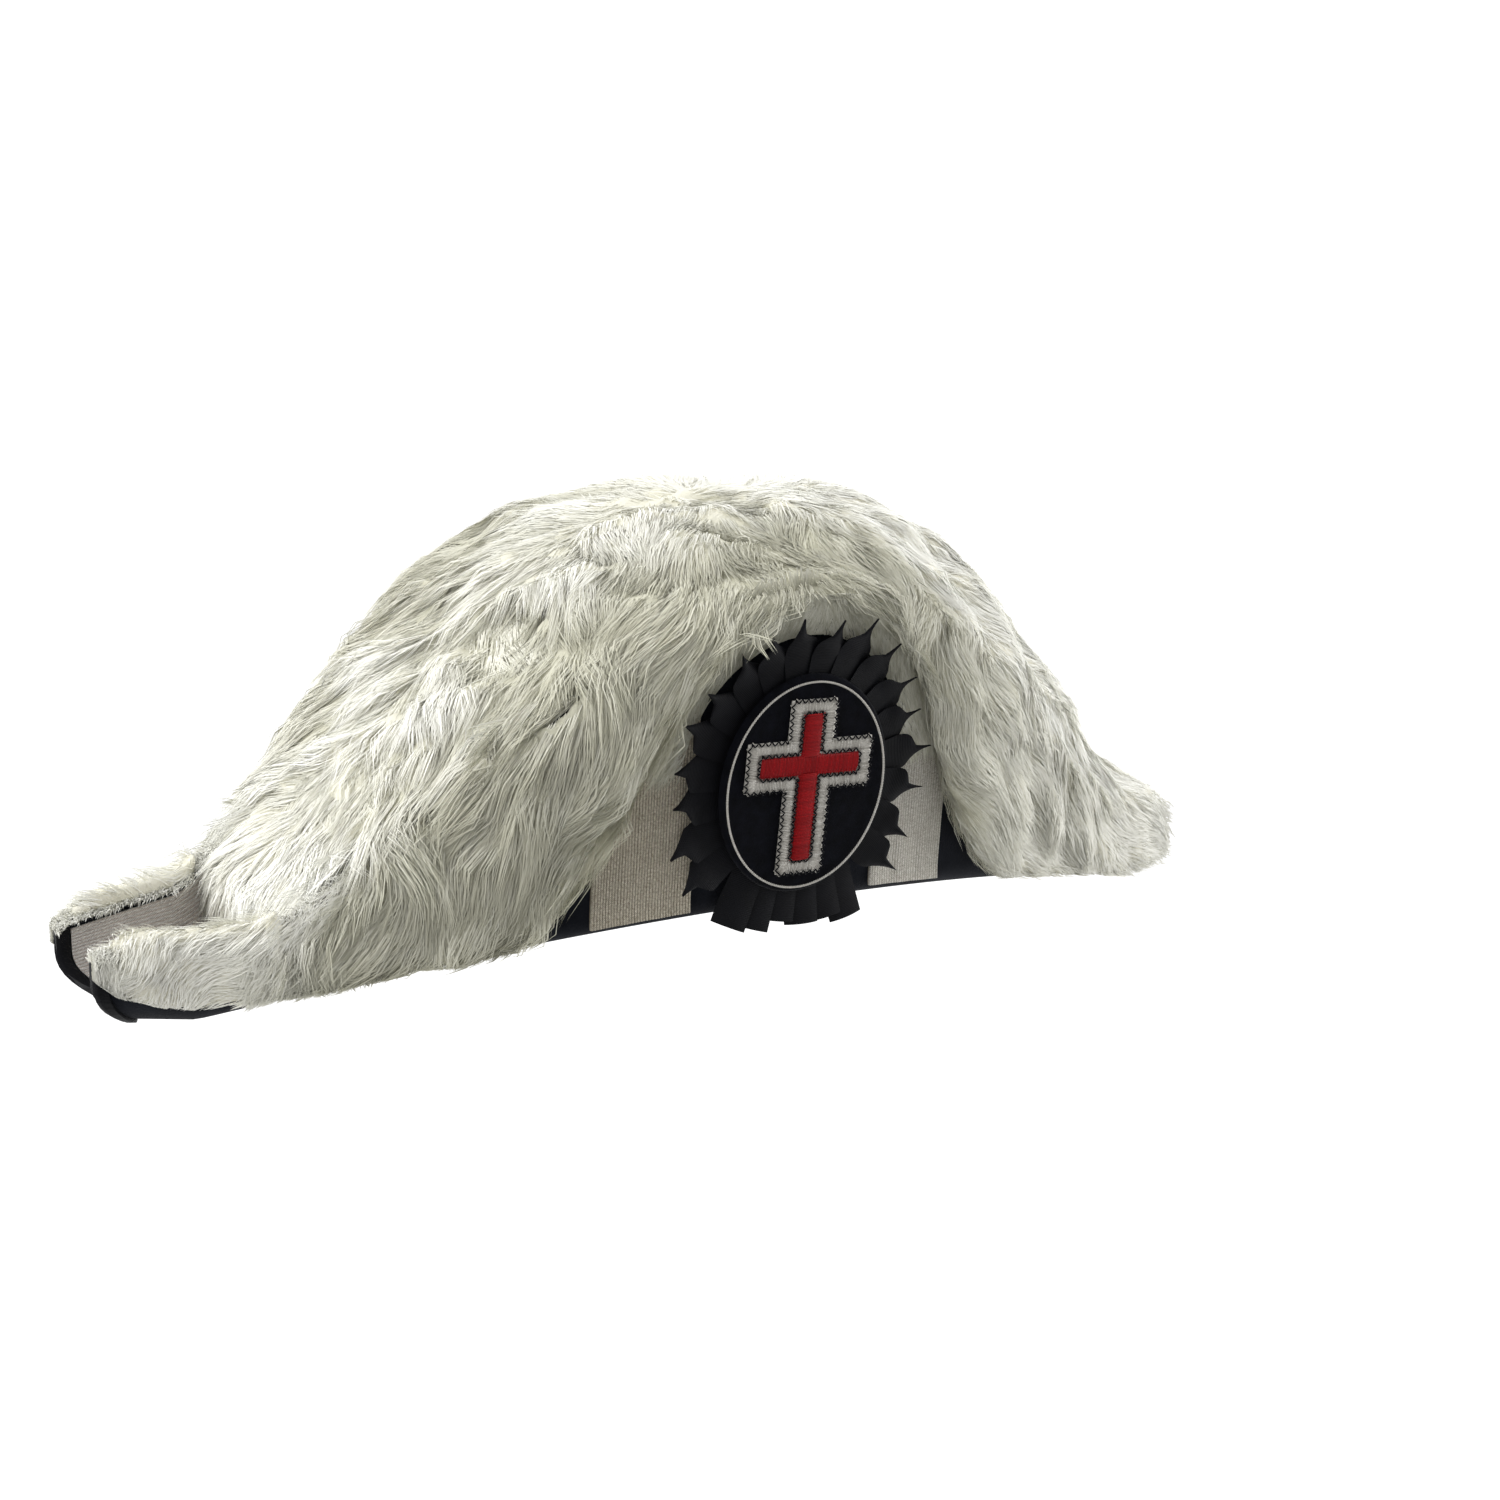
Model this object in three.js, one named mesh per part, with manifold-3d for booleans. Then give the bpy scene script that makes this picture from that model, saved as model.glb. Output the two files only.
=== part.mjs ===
// A fore-and-aft dress hat with a white plume.
// Millimetres, +Z up. The front peak points to -X, the wearer's left side faces -Y.

import * as THREE from 'three';
import { mergeVertices } from 'three/addons/utils/BufferGeometryUtils.js';
import Module from 'manifold-3d';

const wasm = await Module();
wasm.setup();

// Driving sizes
const FRONT_REACH = 235;
const REAR_REACH = 222;
const HEM_HALF_WIDTH = 91;
const PEAK_HALF_WIDTH = 24;
const PLAN_POWER = 1.37;
const HEM_ARCH = 32;
const ARCH_POWER = 1.15;
const REST_REACH = 205;
const FLAP_TOP = 151;
const PEAK_TOP = 28;
const PEAK_RISE = 5;
const FLARE = THREE.MathUtils.degToRad(7.5);
const FELT = 2.5;
const GAP = 0.3;

// The flaps' top line falls to the peaks' height at this reach, and rounds down again at the tips
const FLAP_LINE = { reach: 188, power: 1.6, tipPower: 0.3 };

// Fold radius along the hem, at mid length and at the tips
const FOLD_MIDDLE = 8;
const FOLD_TIP = 19;

// Each peak ends in a round nose: its keel lies behind its top corners, up to a height, and this
// fades along the hat
const RAKE = { length: 17, height: 20, power: 2.5, fade: 8 };

// Crown, by its outer half sizes
const CROWN = { halfLength: 101, halfWidth: 82.5, top: 146, spring: 64, wall: 2, power: 2.2 };
const HEAD_CLEARANCE = 0.3;
const FLOOR_START = 16;

// Lace straps on the left flap, by their edges along the hat
const STRAPS = [
  { name: 'lace_strap_front', from: -73, to: -36, low: 4, high: 84 },
  { name: 'lace_strap_rear', from: 39, to: 74, low: 4, high: 70 },
];
const STRAP_THICKNESS = 1.2;
const LACE_THICKNESS = 0.9;
const PEAK_LACE = { to: -150, rim: 3 };
const BINDING = { width: 4, thickness: 1.1 };

// Rosette, its centre on the left flap, its half sizes and its pleats
const ROSETTE = { x: 3, z: 81.5, tilt: THREE.MathUtils.degToRad(-2) };
const DISC = { halfWidth: 34, halfHeight: 41, thickness: 1.8, base: 5.8 };
const CORD = { radius: 0.8, lift: 0.3, inset: 2, sides: 6, steps: 40 };
const PLEATS = { count: 24, tipHalfWidth: 54.5, tipHalfHeight: 64, root: 0.62, thickness: 1.2, base: 2.4 };

// Pleats between these angles hang straight down to below the hem, and splay outwards
const HANGING = { from: -128, to: -52, below: 4, splay: 1.2 };

// From a pleat's root to its tip: half width of one drawn to a point and of one that hangs, and
// how far a point stands off the flap
const PLEAT_ROWS = [
  { share: 0, pointed: 4.6, hanging: 4.6, rise: 0 }, { share: 0.35, pointed: 6, hanging: 6, rise: 0 },
  { share: 0.6, pointed: 6, hanging: 6.2, rise: 0.5 }, { share: 0.76, pointed: 3, hanging: 6.2, rise: 2 },
  { share: 1, pointed: 0.4, hanging: 6, rise: 5 },
];

// Section of a pleat: across in half widths, depth in thicknesses; one edge rises over its neighbour
const PLEAT_SECTION = [
  { across: -1, depth: 0 }, { across: 1, depth: 0 }, { across: 1, depth: 1 },
  { across: 0.2, depth: 2 }, { across: -1, depth: 1.1 },
];
const PLEAT_TILT = 1 / 6;

// Cross, by half width and full length of its red body
const CROSS = { halfWidth: 20, up: 19, down: 36, arm: 7.7, border: 5.9, centre: 8, lift: 0.3 };
const CROSS_THICKNESS = 1.3;

// Plume: its least thickness, soft edge, distance kept from its neighbours, the rise of its
// underside between the flaps, and how far below the flap's top its rounded top begins
const PLUME = { least: 2, edge: 24, under: 12, clear: 1.9, skin: 8, shoulder: 20, arch: 2.4, foot: 4 };

// Locks of the plume: width on the ridge, length, relief, and how much they fan out on their way down
const LOCK = { width: 36, length: 40, relief: 4.5, fan: 0.003 };

// The drape's ends are drawn in between two places along the hat, above and below a height
const DRAPE_ENDS = [
  { from: -158, to: -175, height: 36, above: 0.62, below: 1 },
  { from: 214, to: 231, height: 15, above: 0.15, below: 0.3 },
];

// The plume fills the front peak's trough behind this place, above its lace
const PLUME_MOUTH = { x: -158, overLace: 0.6 };

// Section of the strip of plume on a wall of the front peak: out from the hem line, and up from
// the strip's foot or from the wall's top; rows that swell grow and shrink along the strip
const TIP_FOOT = 6;
const TIP_SECTION = [
  { out: -7, up: 0, from: 'foot', swell: 0 }, { out: 0, up: 0, from: 'foot', swell: 0 },
  { out: 6, up: 5, from: 'foot', swell: 0 }, { out: 10, up: -9, from: 'top', swell: 0 },
  { out: 8, up: 1, from: 'top', swell: 0 }, { out: 3, up: 7, from: 'top', swell: 1 },
  { out: -2.5, up: 6.5, from: 'top', swell: 1 }, { out: -4, up: 1, from: 'top', swell: 0 },
  { out: -2.5, up: -6, from: 'top', swell: 0 }, { out: -2.8, up: 8, from: 'foot', swell: 0 },
];
const TIP_SWELL = { base: 1, wave: 0.12, pitch: 2.4, blunt: 0.7 };
const ROSETTE_CLEAR = { halfWidth: 56, halfHeight: 66, behind: 8, ahead: 60 };

// Along the hat: height of the plume's ridge and its thickness on the flaps
const DRAPE = [
  { x: -174, ridge: 46, thick: 10 }, { x: -160, ridge: 57, thick: 13 },
  { x: -145, ridge: 75, thick: 14 }, { x: -128, ridge: 94, thick: 15 },
  { x: -108, ridge: 113, thick: 15 }, { x: -87, ridge: 131, thick: 15 },
  { x: -66, ridge: 149, thick: 15 }, { x: -42, ridge: 165, thick: 15 },
  { x: 0, ridge: 174, thick: 15 }, { x: 45, ridge: 176, thick: 15 },
  { x: 75, ridge: 172, thick: 15 }, { x: 100, ridge: 156, thick: 15 },
  { x: 120, ridge: 140, thick: 15 }, { x: 140, ridge: 121, thick: 14 },
  { x: 160, ridge: 97, thick: 13 }, { x: 180, ridge: 72, thick: 11 },
  { x: 200, ridge: 51, thick: 8 }, { x: 230, ridge: 37, thick: 5 },
];

// Lower edge of the plume above the hem, on each side
const LEFT_EDGE = [
  { x: -98, rise: 3 }, { x: -83, rise: 20 }, { x: -68, rise: 45 }, { x: -52, rise: 70 },
  { x: -37, rise: 94 }, { x: -20, rise: 108 }, { x: 0, rise: 116 }, { x: 21, rise: 115 },
  { x: 46, rise: 95 }, { x: 60, rise: 64 }, { x: 76, rise: 27 }, { x: 89, rise: 13 },
  { x: 106, rise: 3 },
];
const RIGHT_EDGE = [
  { x: -98, rise: 3 }, { x: -80, rise: 28 }, { x: -55, rise: 62 }, { x: -28, rise: 82 },
  { x: 0, rise: 88 }, { x: 28, rise: 82 }, { x: 55, rise: 62 }, { x: 80, rise: 28 },
  { x: 98, rise: 3 },
];

// Colours and finish
const LOOKS = {
  felt: { color: 0x14151b, roughness: 0.9, metalness: 0 },
  ribbon: { color: 0x10121a, roughness: 0.6, metalness: 0 },
  velvet: { color: 0x07080c, roughness: 1, metalness: 0 },
  lace: { color: 0xb5ab98, roughness: 0.5, metalness: 0.4 },
  bullion: { color: 0xd9d7d0, roughness: 0.4, metalness: 0.6 },
  red: { color: 0x9a0512, roughness: 0.8, metalness: 0 },
  plume: { color: 0xf2efe6, roughness: 0.9, metalness: 0 },
};

const clamp = (value, low, high) => Math.min(high, Math.max(low, value));
const smooth = (value) => THREE.MathUtils.smoothstep(value, 0, 1);

// Straight interpolation in a table of rows
function lookUp(rows, x, column) {
  if (x <= rows[0].x) return rows[0][column];
  const next = rows.findIndex((row) => row.x > x);
  if (next < 0) return rows[rows.length - 1][column];
  const [a, b] = [rows[next - 1], rows[next]];
  return a[column] + ((b[column] - a[column]) * (x - a.x)) / (b.x - a.x);
}

// Shape of the felt body along the hat

const reachAt = (x) => (x < 0 ? FRONT_REACH : REAR_REACH);
const inPlan = (x) => clamp(1 - (x / reachAt(x)) ** 2, 0, 1);

function hemHalfWidth(x) {
  return PEAK_HALF_WIDTH + (HEM_HALF_WIDTH - PEAK_HALF_WIDTH) * inPlan(x) ** PLAN_POWER;
}

function hemHeight(x) {
  return HEM_ARCH * clamp(1 - (x / REST_REACH) ** 2, 0, 1) ** ARCH_POWER;
}

function flapTop(x) {
  const fromTip = clamp((reachAt(x) - Math.abs(x)) / (reachAt(x) - FLAP_LINE.reach), 0, 1);
  const share = clamp(1 - (x / FLAP_LINE.reach) ** 2, 0, 1);
  const peak = PEAK_TOP + PEAK_RISE * fromTip ** FLAP_LINE.tipPower;
  return peak + (FLAP_TOP - PEAK_TOP - PEAK_RISE) * share ** FLAP_LINE.power;
}

const foldRadius = (x) => FOLD_TIP + (FOLD_MIDDLE - FOLD_TIP) * inPlan(x);
const lean = (x) => Math.tan(FLARE) * inPlan(x);

// Distance of the flap's outer face from the middle plane
function wallOut(x, z) {
  return hemHalfWidth(x) + lean(x) * Math.max(0, z - hemHeight(x) - foldRadius(x));
}

// Low rows of a peak's end move towards the middle
function raked(x, level) {
  const share = clamp(Math.abs(x) / reachAt(x), 0, 1) ** RAKE.fade;
  const under = Math.max(0, 1 - level / RAKE.height) ** RAKE.power;
  return x - Math.sign(x) * RAKE.length * share * under;
}

const at = (x, y, z, level = z) => new THREE.Vector3(raked(x, level), y, z);

// Half of the brim's U section, from the flap's top down to the floor, set in from its outer face
function halfSection(x, side, inset, top = flapTop(x)) {
  const radius = foldRadius(x);
  const low = hemHeight(x);
  const points = [at(x, side * (wallOut(x, top) - inset), top)];
  const middle = (top + low + radius) / 2;
  points.push(at(x, side * (wallOut(x, middle) - inset), middle));
  const arcSteps = 4;
  for (let i = 0; i <= arcSteps; i += 1) {
    const turn = (Math.PI / 2) * (i / arcSteps);
    const [across, down] = [Math.cos(turn), Math.sin(turn)];
    const out = hemHalfWidth(x) - radius + (radius - inset) * across;
    points.push(at(x, side * out, low + radius - (radius - inset) * down, low + radius - radius * down));
  }
  return points;
}

// Whole U section between two insets, as one closed ring
function troughRing(x, outerInset, innerInset, top) {
  const outer = [...halfSection(x, -1, outerInset, top), ...halfSection(x, 1, outerInset, top).reverse()];
  const inner = [...halfSection(x, -1, innerInset, top), ...halfSection(x, 1, innerInset, top).reverse()];
  return [...outer, ...inner.reverse()];
}

// Even steps from one place to another
function stations(from, to, count) {
  return Array.from({ length: count + 1 }, (_, i) => from + ((to - from) * i) / count);
}

// Every piece of the body keeps to the same stations along the hat, so that their faces stay parallel
const BINDING_END = -FRONT_REACH + BINDING.width;
const BODY_STATIONS = [-FRONT_REACH, ...stations(BINDING_END, REAR_REACH, 33)];

// A ring at any place, straight between the two nearest stations
function ringOn(x, makeRing) {
  const behind = BODY_STATIONS.findLastIndex((station) => station <= x);
  const index = clamp(behind, 0, BODY_STATIONS.length - 2);
  const step = BODY_STATIONS[index + 1] - BODY_STATIONS[index];
  const share = clamp((x - BODY_STATIONS[index]) / step, 0, 1);
  const beyond = x - clamp(x, -FRONT_REACH, REAR_REACH);
  const next = makeRing(BODY_STATIONS[index + 1]);
  return makeRing(BODY_STATIONS[index]).map((point, i) => {
    const between = point.clone().lerp(next[i], share);
    between.x += beyond;
    return between;
  });
}

function bodyRings(from, to, makeRing) {
  const inner = BODY_STATIONS.filter((x) => x > from + 0.5 && x < to - 0.5);
  return [from, ...inner, to].map((x) => ringOn(x, makeRing));
}

// Geometry tools

// Skin through rings of points, closed at both ends by faces from one half of the ring to the other
function loft(rings) {
  const size = rings[0].length;
  const points = rings.flat();
  const index = [];
  // Each four-sided face is split along its shorter diagonal
  const addFace = (a, b, c, d) => {
    if (points[a].distanceTo(points[c]) <= points[b].distanceTo(points[d])) index.push(a, b, c, a, c, d);
    else index.push(a, b, d, b, c, d);
  };
  const last = points.length - size;
  for (let start = 0; start < last; start += size) {
    for (let i = 0; i < size; i += 1) {
      const [a, b] = [start + i, start + ((i + 1) % size)];
      addFace(a, b, b + size, a + size);
    }
  }
  for (let i = 0; i + 1 <= size - 2 - i; i += 1) {
    const [near, far] = [[i, i + 1], [size - 2 - i, size - 1 - i]];
    addFace(near[1], near[0], far[1], far[0]);
    addFace(last + near[0], last + near[1], last + far[0], last + far[1]);
  }
  const geometry = new THREE.BufferGeometry();
  const positions = points.flatMap((p) => [p.x, p.y, p.z]);
  geometry.setAttribute('position', new THREE.Float32BufferAttribute(positions, 3));
  geometry.setIndex(index);
  return geometry;
}

function signedVolume(positions, index) {
  const [a, b, c] = [new THREE.Vector3(), new THREE.Vector3(), new THREE.Vector3()];
  let volume = 0;
  for (let i = 0; i < index.length; i += 3) {
    a.fromArray(positions, 3 * index[i]);
    b.fromArray(positions, 3 * index[i + 1]);
    c.fromArray(positions, 3 * index[i + 2]);
    volume += a.dot(b.cross(c)) / 6;
  }
  return volume;
}

// Closed geometry to a solid, with its faces pointing out
function solidOf(geometry) {
  const bare = geometry.clone();
  bare.deleteAttribute('normal');
  bare.deleteAttribute('uv');
  const merged = mergeVertices(bare, 1e-4);
  const positions = Float32Array.from(merged.attributes.position.array);
  let faces = [];
  for (let i = 0; i < merged.index.count; i += 3) {
    const [a, b, c] = [0, 1, 2].map((k) => merged.index.getX(i + k));
    if (a !== b && b !== c && a !== c) faces.push(a, b, c);
  }
  if (signedVolume(positions, faces) < 0) faces = faces.reverse();
  const mesh = { numProp: 3, vertProperties: positions, triVerts: Uint32Array.from(faces) };
  return new wasm.Manifold(new wasm.Mesh(mesh));
}

function geometryOf(solid) {
  const mesh = solid.getMesh();
  const geometry = new THREE.BufferGeometry();
  geometry.setAttribute('position', new THREE.BufferAttribute(Float32Array.from(mesh.vertProperties), 3));
  geometry.setIndex(new THREE.BufferAttribute(Uint32Array.from(mesh.triVerts), 1));
  return geometry;
}

function piece(name, look, geometry) {
  const mesh = new THREE.Mesh(geometry, new THREE.MeshStandardMaterial(LOOKS[look]));
  mesh.name = name;
  return mesh;
}

// Upright oval prism, used to cut the head opening and the rosette's place
function ovalPrism(halfLength, halfWidth, low, high) {
  const geometry = new THREE.CylinderGeometry(1, 1, high - low, 48);
  geometry.rotateX(Math.PI / 2);
  geometry.scale(halfLength, halfWidth, 1);
  geometry.translate(0, 0, (low + high) / 2);
  return geometry;
}

// Crown: a dome of felt, open below, its rim following the arch of the hem

function makeCrown() {
  const { halfLength, halfWidth, top, spring, wall, power } = CROWN;
  const rimSteps = 7;
  const profile = (inset) => stations(0, 1, rimSteps).map((share) => {
    const radius = Math.sin((share * Math.PI) / 2);
    const rise = Math.max(0, 1 - radius ** power) ** (1 / power);
    return new THREE.Vector2(radius * (halfWidth - inset), spring + rise * (top - inset - spring));
  });
  const outer = [...profile(0), new THREE.Vector2(halfWidth, 0)];
  const inner = [...profile(wall), new THREE.Vector2(halfWidth - wall, 0)];
  const geometry = new THREE.LatheGeometry([...outer, ...inner.reverse()], 32);
  geometry.rotateX(Math.PI / 2);
  const position = geometry.attributes.position;
  for (let i = 0; i < position.count; i += 1) {
    const radius = Math.hypot(position.getX(i), position.getY(i));
    const stretch = radius > 0 ? (radius + halfLength - halfWidth) / radius : 1;
    const share = clamp(radius / halfWidth, 0, 1);
    const x = position.getX(i) * (1 + (stretch - 1) * share);
    const z = position.getZ(i);
    const rim = hemHeight(x) + GAP;
    position.setX(i, x);
    position.setZ(i, z < spring ? rim + ((spring - rim) * z) / spring : z);
  }
  return piece('crown', 'felt', geometryOf(solidOf(geometry)));
}

// Brim: two flaps and the floor of each peak

function makeFlap(name, side) {
  const rings = bodyRings(-FRONT_REACH, REAR_REACH, (x) => [
    ...halfSection(x, side, 0),
    ...halfSection(x, side, FELT).reverse(),
  ]);
  return piece(name, 'felt', geometryOf(solidOf(loft(rings))));
}

function makePeakFloor(name, end) {
  const ends = [end * reachAt(end), end * FLOOR_START].sort((a, b) => a - b);
  const rings = bodyRings(...ends, (x) => {
    const out = hemHalfWidth(x) - foldRadius(x) - GAP;
    const low = hemHeight(x);
    const corner = (y, z) => at(x, y, z, low);
    return [corner(-out, low), corner(out, low), corner(out, low + FELT), corner(-out, low + FELT)];
  });
  const hole = ovalPrism(
    CROWN.halfLength + HEAD_CLEARANCE,
    CROWN.halfWidth + HEAD_CLEARANCE,
    -10,
    HEM_ARCH + 20,
  );
  return piece(name, 'felt', geometryOf(solidOf(loft(rings)).subtract(solidOf(hole))));
}

function makeBinding() {
  const outer = GAP + BINDING.thickness;
  const sleeve = bodyRings(-FRONT_REACH - outer, BINDING_END, (x) =>
    troughRing(x, -outer, FELT + GAP + LACE_THICKNESS, flapTop(x)),
  );
  const clearance = bodyRings(-FRONT_REACH - GAP, BINDING_END + BINDING.width, (x) =>
    troughRing(x, -GAP, FELT + GAP, flapTop(x) + 5),
  );
  const solid = solidOf(loft(sleeve)).subtract(solidOf(loft(clearance)));
  return piece('front_binding', 'ribbon', geometryOf(solid));
}

function makePeakLace() {
  const { to, rim } = PEAK_LACE;
  const rings = bodyRings(BINDING_END + GAP, to, (x) =>
    troughRing(x, FELT + GAP, FELT + GAP + LACE_THICKNESS, flapTop(x) - rim),
  );
  return piece('front_peak_lace', 'lace', geometryOf(solidOf(loft(rings))));
}

function makeStrap({ name, from, to, low, high }) {
  const rings = bodyRings(from, to, (x) => {
    const [bottom, top] = [hemHeight(x) + low, hemHeight(x) + high];
    const corner = (z, out) => new THREE.Vector3(x, -(wallOut(x, z) + out), z);
    const outer = GAP + STRAP_THICKNESS;
    return [corner(bottom, GAP), corner(bottom, outer), corner(top, outer), corner(top, GAP)];
  });
  return piece(name, 'lace', geometryOf(solidOf(loft(rings))));
}

// Rosette, drawn flat: x along the hat, y up the flap, z away from it

// How far the flap's face lies behind the rosette's own plane
function flapBow(a, b) {
  const along = a * Math.cos(ROSETTE.tilt) - b * Math.sin(ROSETTE.tilt);
  const up = a * Math.sin(ROSETTE.tilt) + b * Math.cos(ROSETTE.tilt);
  const face = wallOut(ROSETTE.x + along, ROSETTE.z + up * Math.cos(FLARE));
  return wallOut(ROSETTE.x, ROSETTE.z) + up * Math.sin(FLARE) - face;
}

function makePleat(angle) {
  const turn = THREE.MathUtils.degToRad(angle);
  const hangs = angle > HANGING.from && angle < HANGING.to;
  const root = new THREE.Vector2(DISC.halfWidth * Math.cos(turn), DISC.halfHeight * Math.sin(turn));
  const tip = new THREE.Vector2(PLEATS.tipHalfWidth * Math.cos(turn), PLEATS.tipHalfHeight * Math.sin(turn));
  if (hangs) tip.set(root.x * HANGING.splay, HEM_ARCH - HANGING.below - ROSETTE.z);
  root.multiplyScalar(PLEATS.root);
  const along = tip.clone().sub(root);
  const across = new THREE.Vector2(-along.y, along.x).normalize();
  const rings = PLEAT_ROWS.map((row) => {
    const half = hangs ? row.hanging : row.pointed;
    const centre = root.clone().addScaledVector(along, row.share);
    return PLEAT_SECTION.map((corner) => {
      const place = centre.clone().addScaledVector(across, corner.across * half);
      const tilt = corner.depth > 0 ? 0.5 * (corner.across + 1) * half * PLEAT_TILT : 0;
      const base = PLEATS.base + (hangs ? 0 : row.rise);
      return { place, depth: base + PLEATS.thickness * corner.depth + tilt };
    });
  });
  // The rings are lofted one behind the other, then each point is moved to its place on the bowed flap
  const pleat = loft(rings.map((ring, i) => ring.map(({ place, depth }) => {
    return new THREE.Vector3(i, place.clone().sub(root).dot(across), depth);
  })));
  rings.flat().forEach(({ place, depth }, i) => {
    pleat.attributes.position.setXYZ(i, place.x, place.y, depth - flapBow(place.x, place.y));
  });
  return solidOf(pleat);
}

// Angle from the rosette's right, between -180 and 180 degrees
const pleatAngle = (i) => (360 / PLEATS.count) * (i + 0.5) - (i < PLEATS.count / 2 ? 0 : 360);

function makePleats() {
  let ring = makePleat(pleatAngle(0));
  for (let i = 1; i < PLEATS.count; i += 1) ring = ring.add(makePleat(pleatAngle(i)));
  return piece('rosette_pleats', 'ribbon', geometryOf(ring));
}

function makeDisc() {
  const plate = ovalPrism(DISC.halfWidth, DISC.halfHeight, DISC.base, DISC.base + DISC.thickness);
  return piece('rosette_disc', 'velvet', plate);
}

// A ring of round cord along the disc's edge, an oval seen from the front
function makeCord() {
  const ring = new THREE.TorusGeometry(DISC.halfWidth, CORD.radius, CORD.sides, CORD.steps);
  const position = ring.attributes.position;
  for (let i = 0; i < position.count; i += 1) {
    const turn = Math.atan2(position.getY(i), position.getX(i));
    const out = Math.hypot(position.getX(i), position.getY(i)) - DISC.halfWidth - CORD.inset;
    position.setX(i, (DISC.halfWidth + out) * Math.cos(turn));
    position.setY(i, (DISC.halfHeight + out) * Math.sin(turn));
  }
  ring.translate(0, 0, DISC.base + DISC.thickness + CORD.lift + CORD.radius);
  return piece('rosette_cord', 'bullion', ring);
}

// Outline of a plain cross, grown outwards by a margin
function crossOutline(grow) {
  const half = CROSS.arm / 2 + grow;
  const wide = CROSS.halfWidth + grow;
  const [high, low] = [CROSS.up + grow, -CROSS.down - grow];
  return [
    [-half, low], [half, low], [half, -half], [wide, -half], [wide, half], [half, half],
    [half, high], [-half, high], [-half, half], [-wide, half], [-wide, -half], [-half, -half],
  ].map(([x, y]) => new THREE.Vector2(x, y + CROSS.centre));
}

function crossPlate(outline, hole) {
  const shape = new THREE.Shape(outline);
  if (hole) shape.holes.push(new THREE.Path(hole));
  const plate = new THREE.ExtrudeGeometry(shape, { depth: CROSS_THICKNESS, bevelEnabled: false });
  plate.translate(0, 0, DISC.base + DISC.thickness + CROSS.lift);
  return plate;
}

function makeRosette() {
  const rosette = new THREE.Group();
  const border = crossPlate(crossOutline(CROSS.border), crossOutline(GAP));
  rosette.add(makePleats(), makeDisc(), makeCord());
  rosette.add(piece('cross_border', 'bullion', border));
  rosette.add(piece('cross_red', 'red', crossPlate(crossOutline(0))));
  placeRosette(rosette);
  return rosette;
}

function placeRosette(object) {
  object.position.set(ROSETTE.x, -wallOut(ROSETTE.x, ROSETTE.z), ROSETTE.z);
  object.rotation.set(Math.PI / 2 + FLARE, 0, 0);
  object.rotateZ(ROSETTE.tilt);
  object.updateMatrixWorld();
}

// Plume: locks fused to a skin that lies over the ridge and the flaps

// Relief of the locks: they fan out from the ridge and each rises towards its end
function lockRelief(x, down) {
  const fanned = x / (1 + LOCK.fan * down) / LOCK.width;
  const column = Math.floor(fanned);
  const row = down / LOCK.length + (column % 2 === 0 ? 0 : 0.5);
  const rise = 0.3 + 0.7 * (row - Math.floor(row));
  return LOCK.relief * (Math.sin(Math.PI * (fanned - column)) * rise - 0.5);
}

// Thickness at a place on a flap, none below the plume's lower edge
function plumeThickness(x, z, edge) {
  const start = hemHeight(x) + lookUp(edge, x, 'rise');
  const share = (z - start + PLUME.under) / PLUME.edge;
  if (share < 0) return -1;
  const relief = lockRelief(x, FLAP_TOP / 2 + flapTop(x) - z);
  return PLUME.least + (lookUp(DRAPE, x, 'thick') + relief) * Math.sqrt(smooth(share));
}

// A section of the drape: up one flap, over the ridge in a blunt arch, and down the other flap
function drapeRing(x) {
  const inside = Math.min(x, REAR_REACH - 2);
  const low = Math.max(PLUME.foot, hemHeight(inside) + 1);
  const top = Math.max(low + 12, flapTop(inside) - PLUME.shoulder);
  const wallSteps = 8;
  const archSteps = 18;
  const wall = (side, edge) => stations(low, top, wallSteps).map((z) => {
    const out = wallOut(inside, z) + plumeThickness(inside, z, edge);
    return new THREE.Vector3(x, side * out, z);
  });
  const shoulder = wallOut(inside, top) + lookUp(DRAPE, x, 'thick') + PLUME.least;
  const arch = [];
  for (let i = 1; i < archSteps; i += 1) {
    const turn = (Math.PI * i) / archSteps;
    const [across, up] = [Math.cos(turn), Math.sin(turn)].map(
      (share) => Math.sign(share) * Math.abs(share) ** (2 / PLUME.arch),
    );
    const lift = lockRelief(x, (FLAP_TOP / 2) * Math.abs(across)) * up;
    const z = top + (lookUp(DRAPE, x, 'ridge') - top) * up + lift;
    arch.push(new THREE.Vector3(x, -across * (shoulder + lift), z));
  }
  const ring = [...wall(-1, LEFT_EDGE), ...arch, ...wall(1, RIGHT_EDGE).reverse()];
  return ring.map((point) => roundedEnd(point));
}

// The drape's two ends are drawn in to a blunt round
function roundedEnd(point) {
  for (const { from, to, height, above, below } of DRAPE_ENDS) {
    const share = clamp((point.x - from) / (to - from), 0, 1);
    const bend = 1 - Math.sqrt(1 - share ** 2);
    const high = point.z > height;
    const scale = 1 - (1 - above) * bend;
    point.y *= high ? scale : 1 - (1 - below) * bend;
    if (high) point.z = height + (point.z - height) * scale;
  }
  return point;
}

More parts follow.
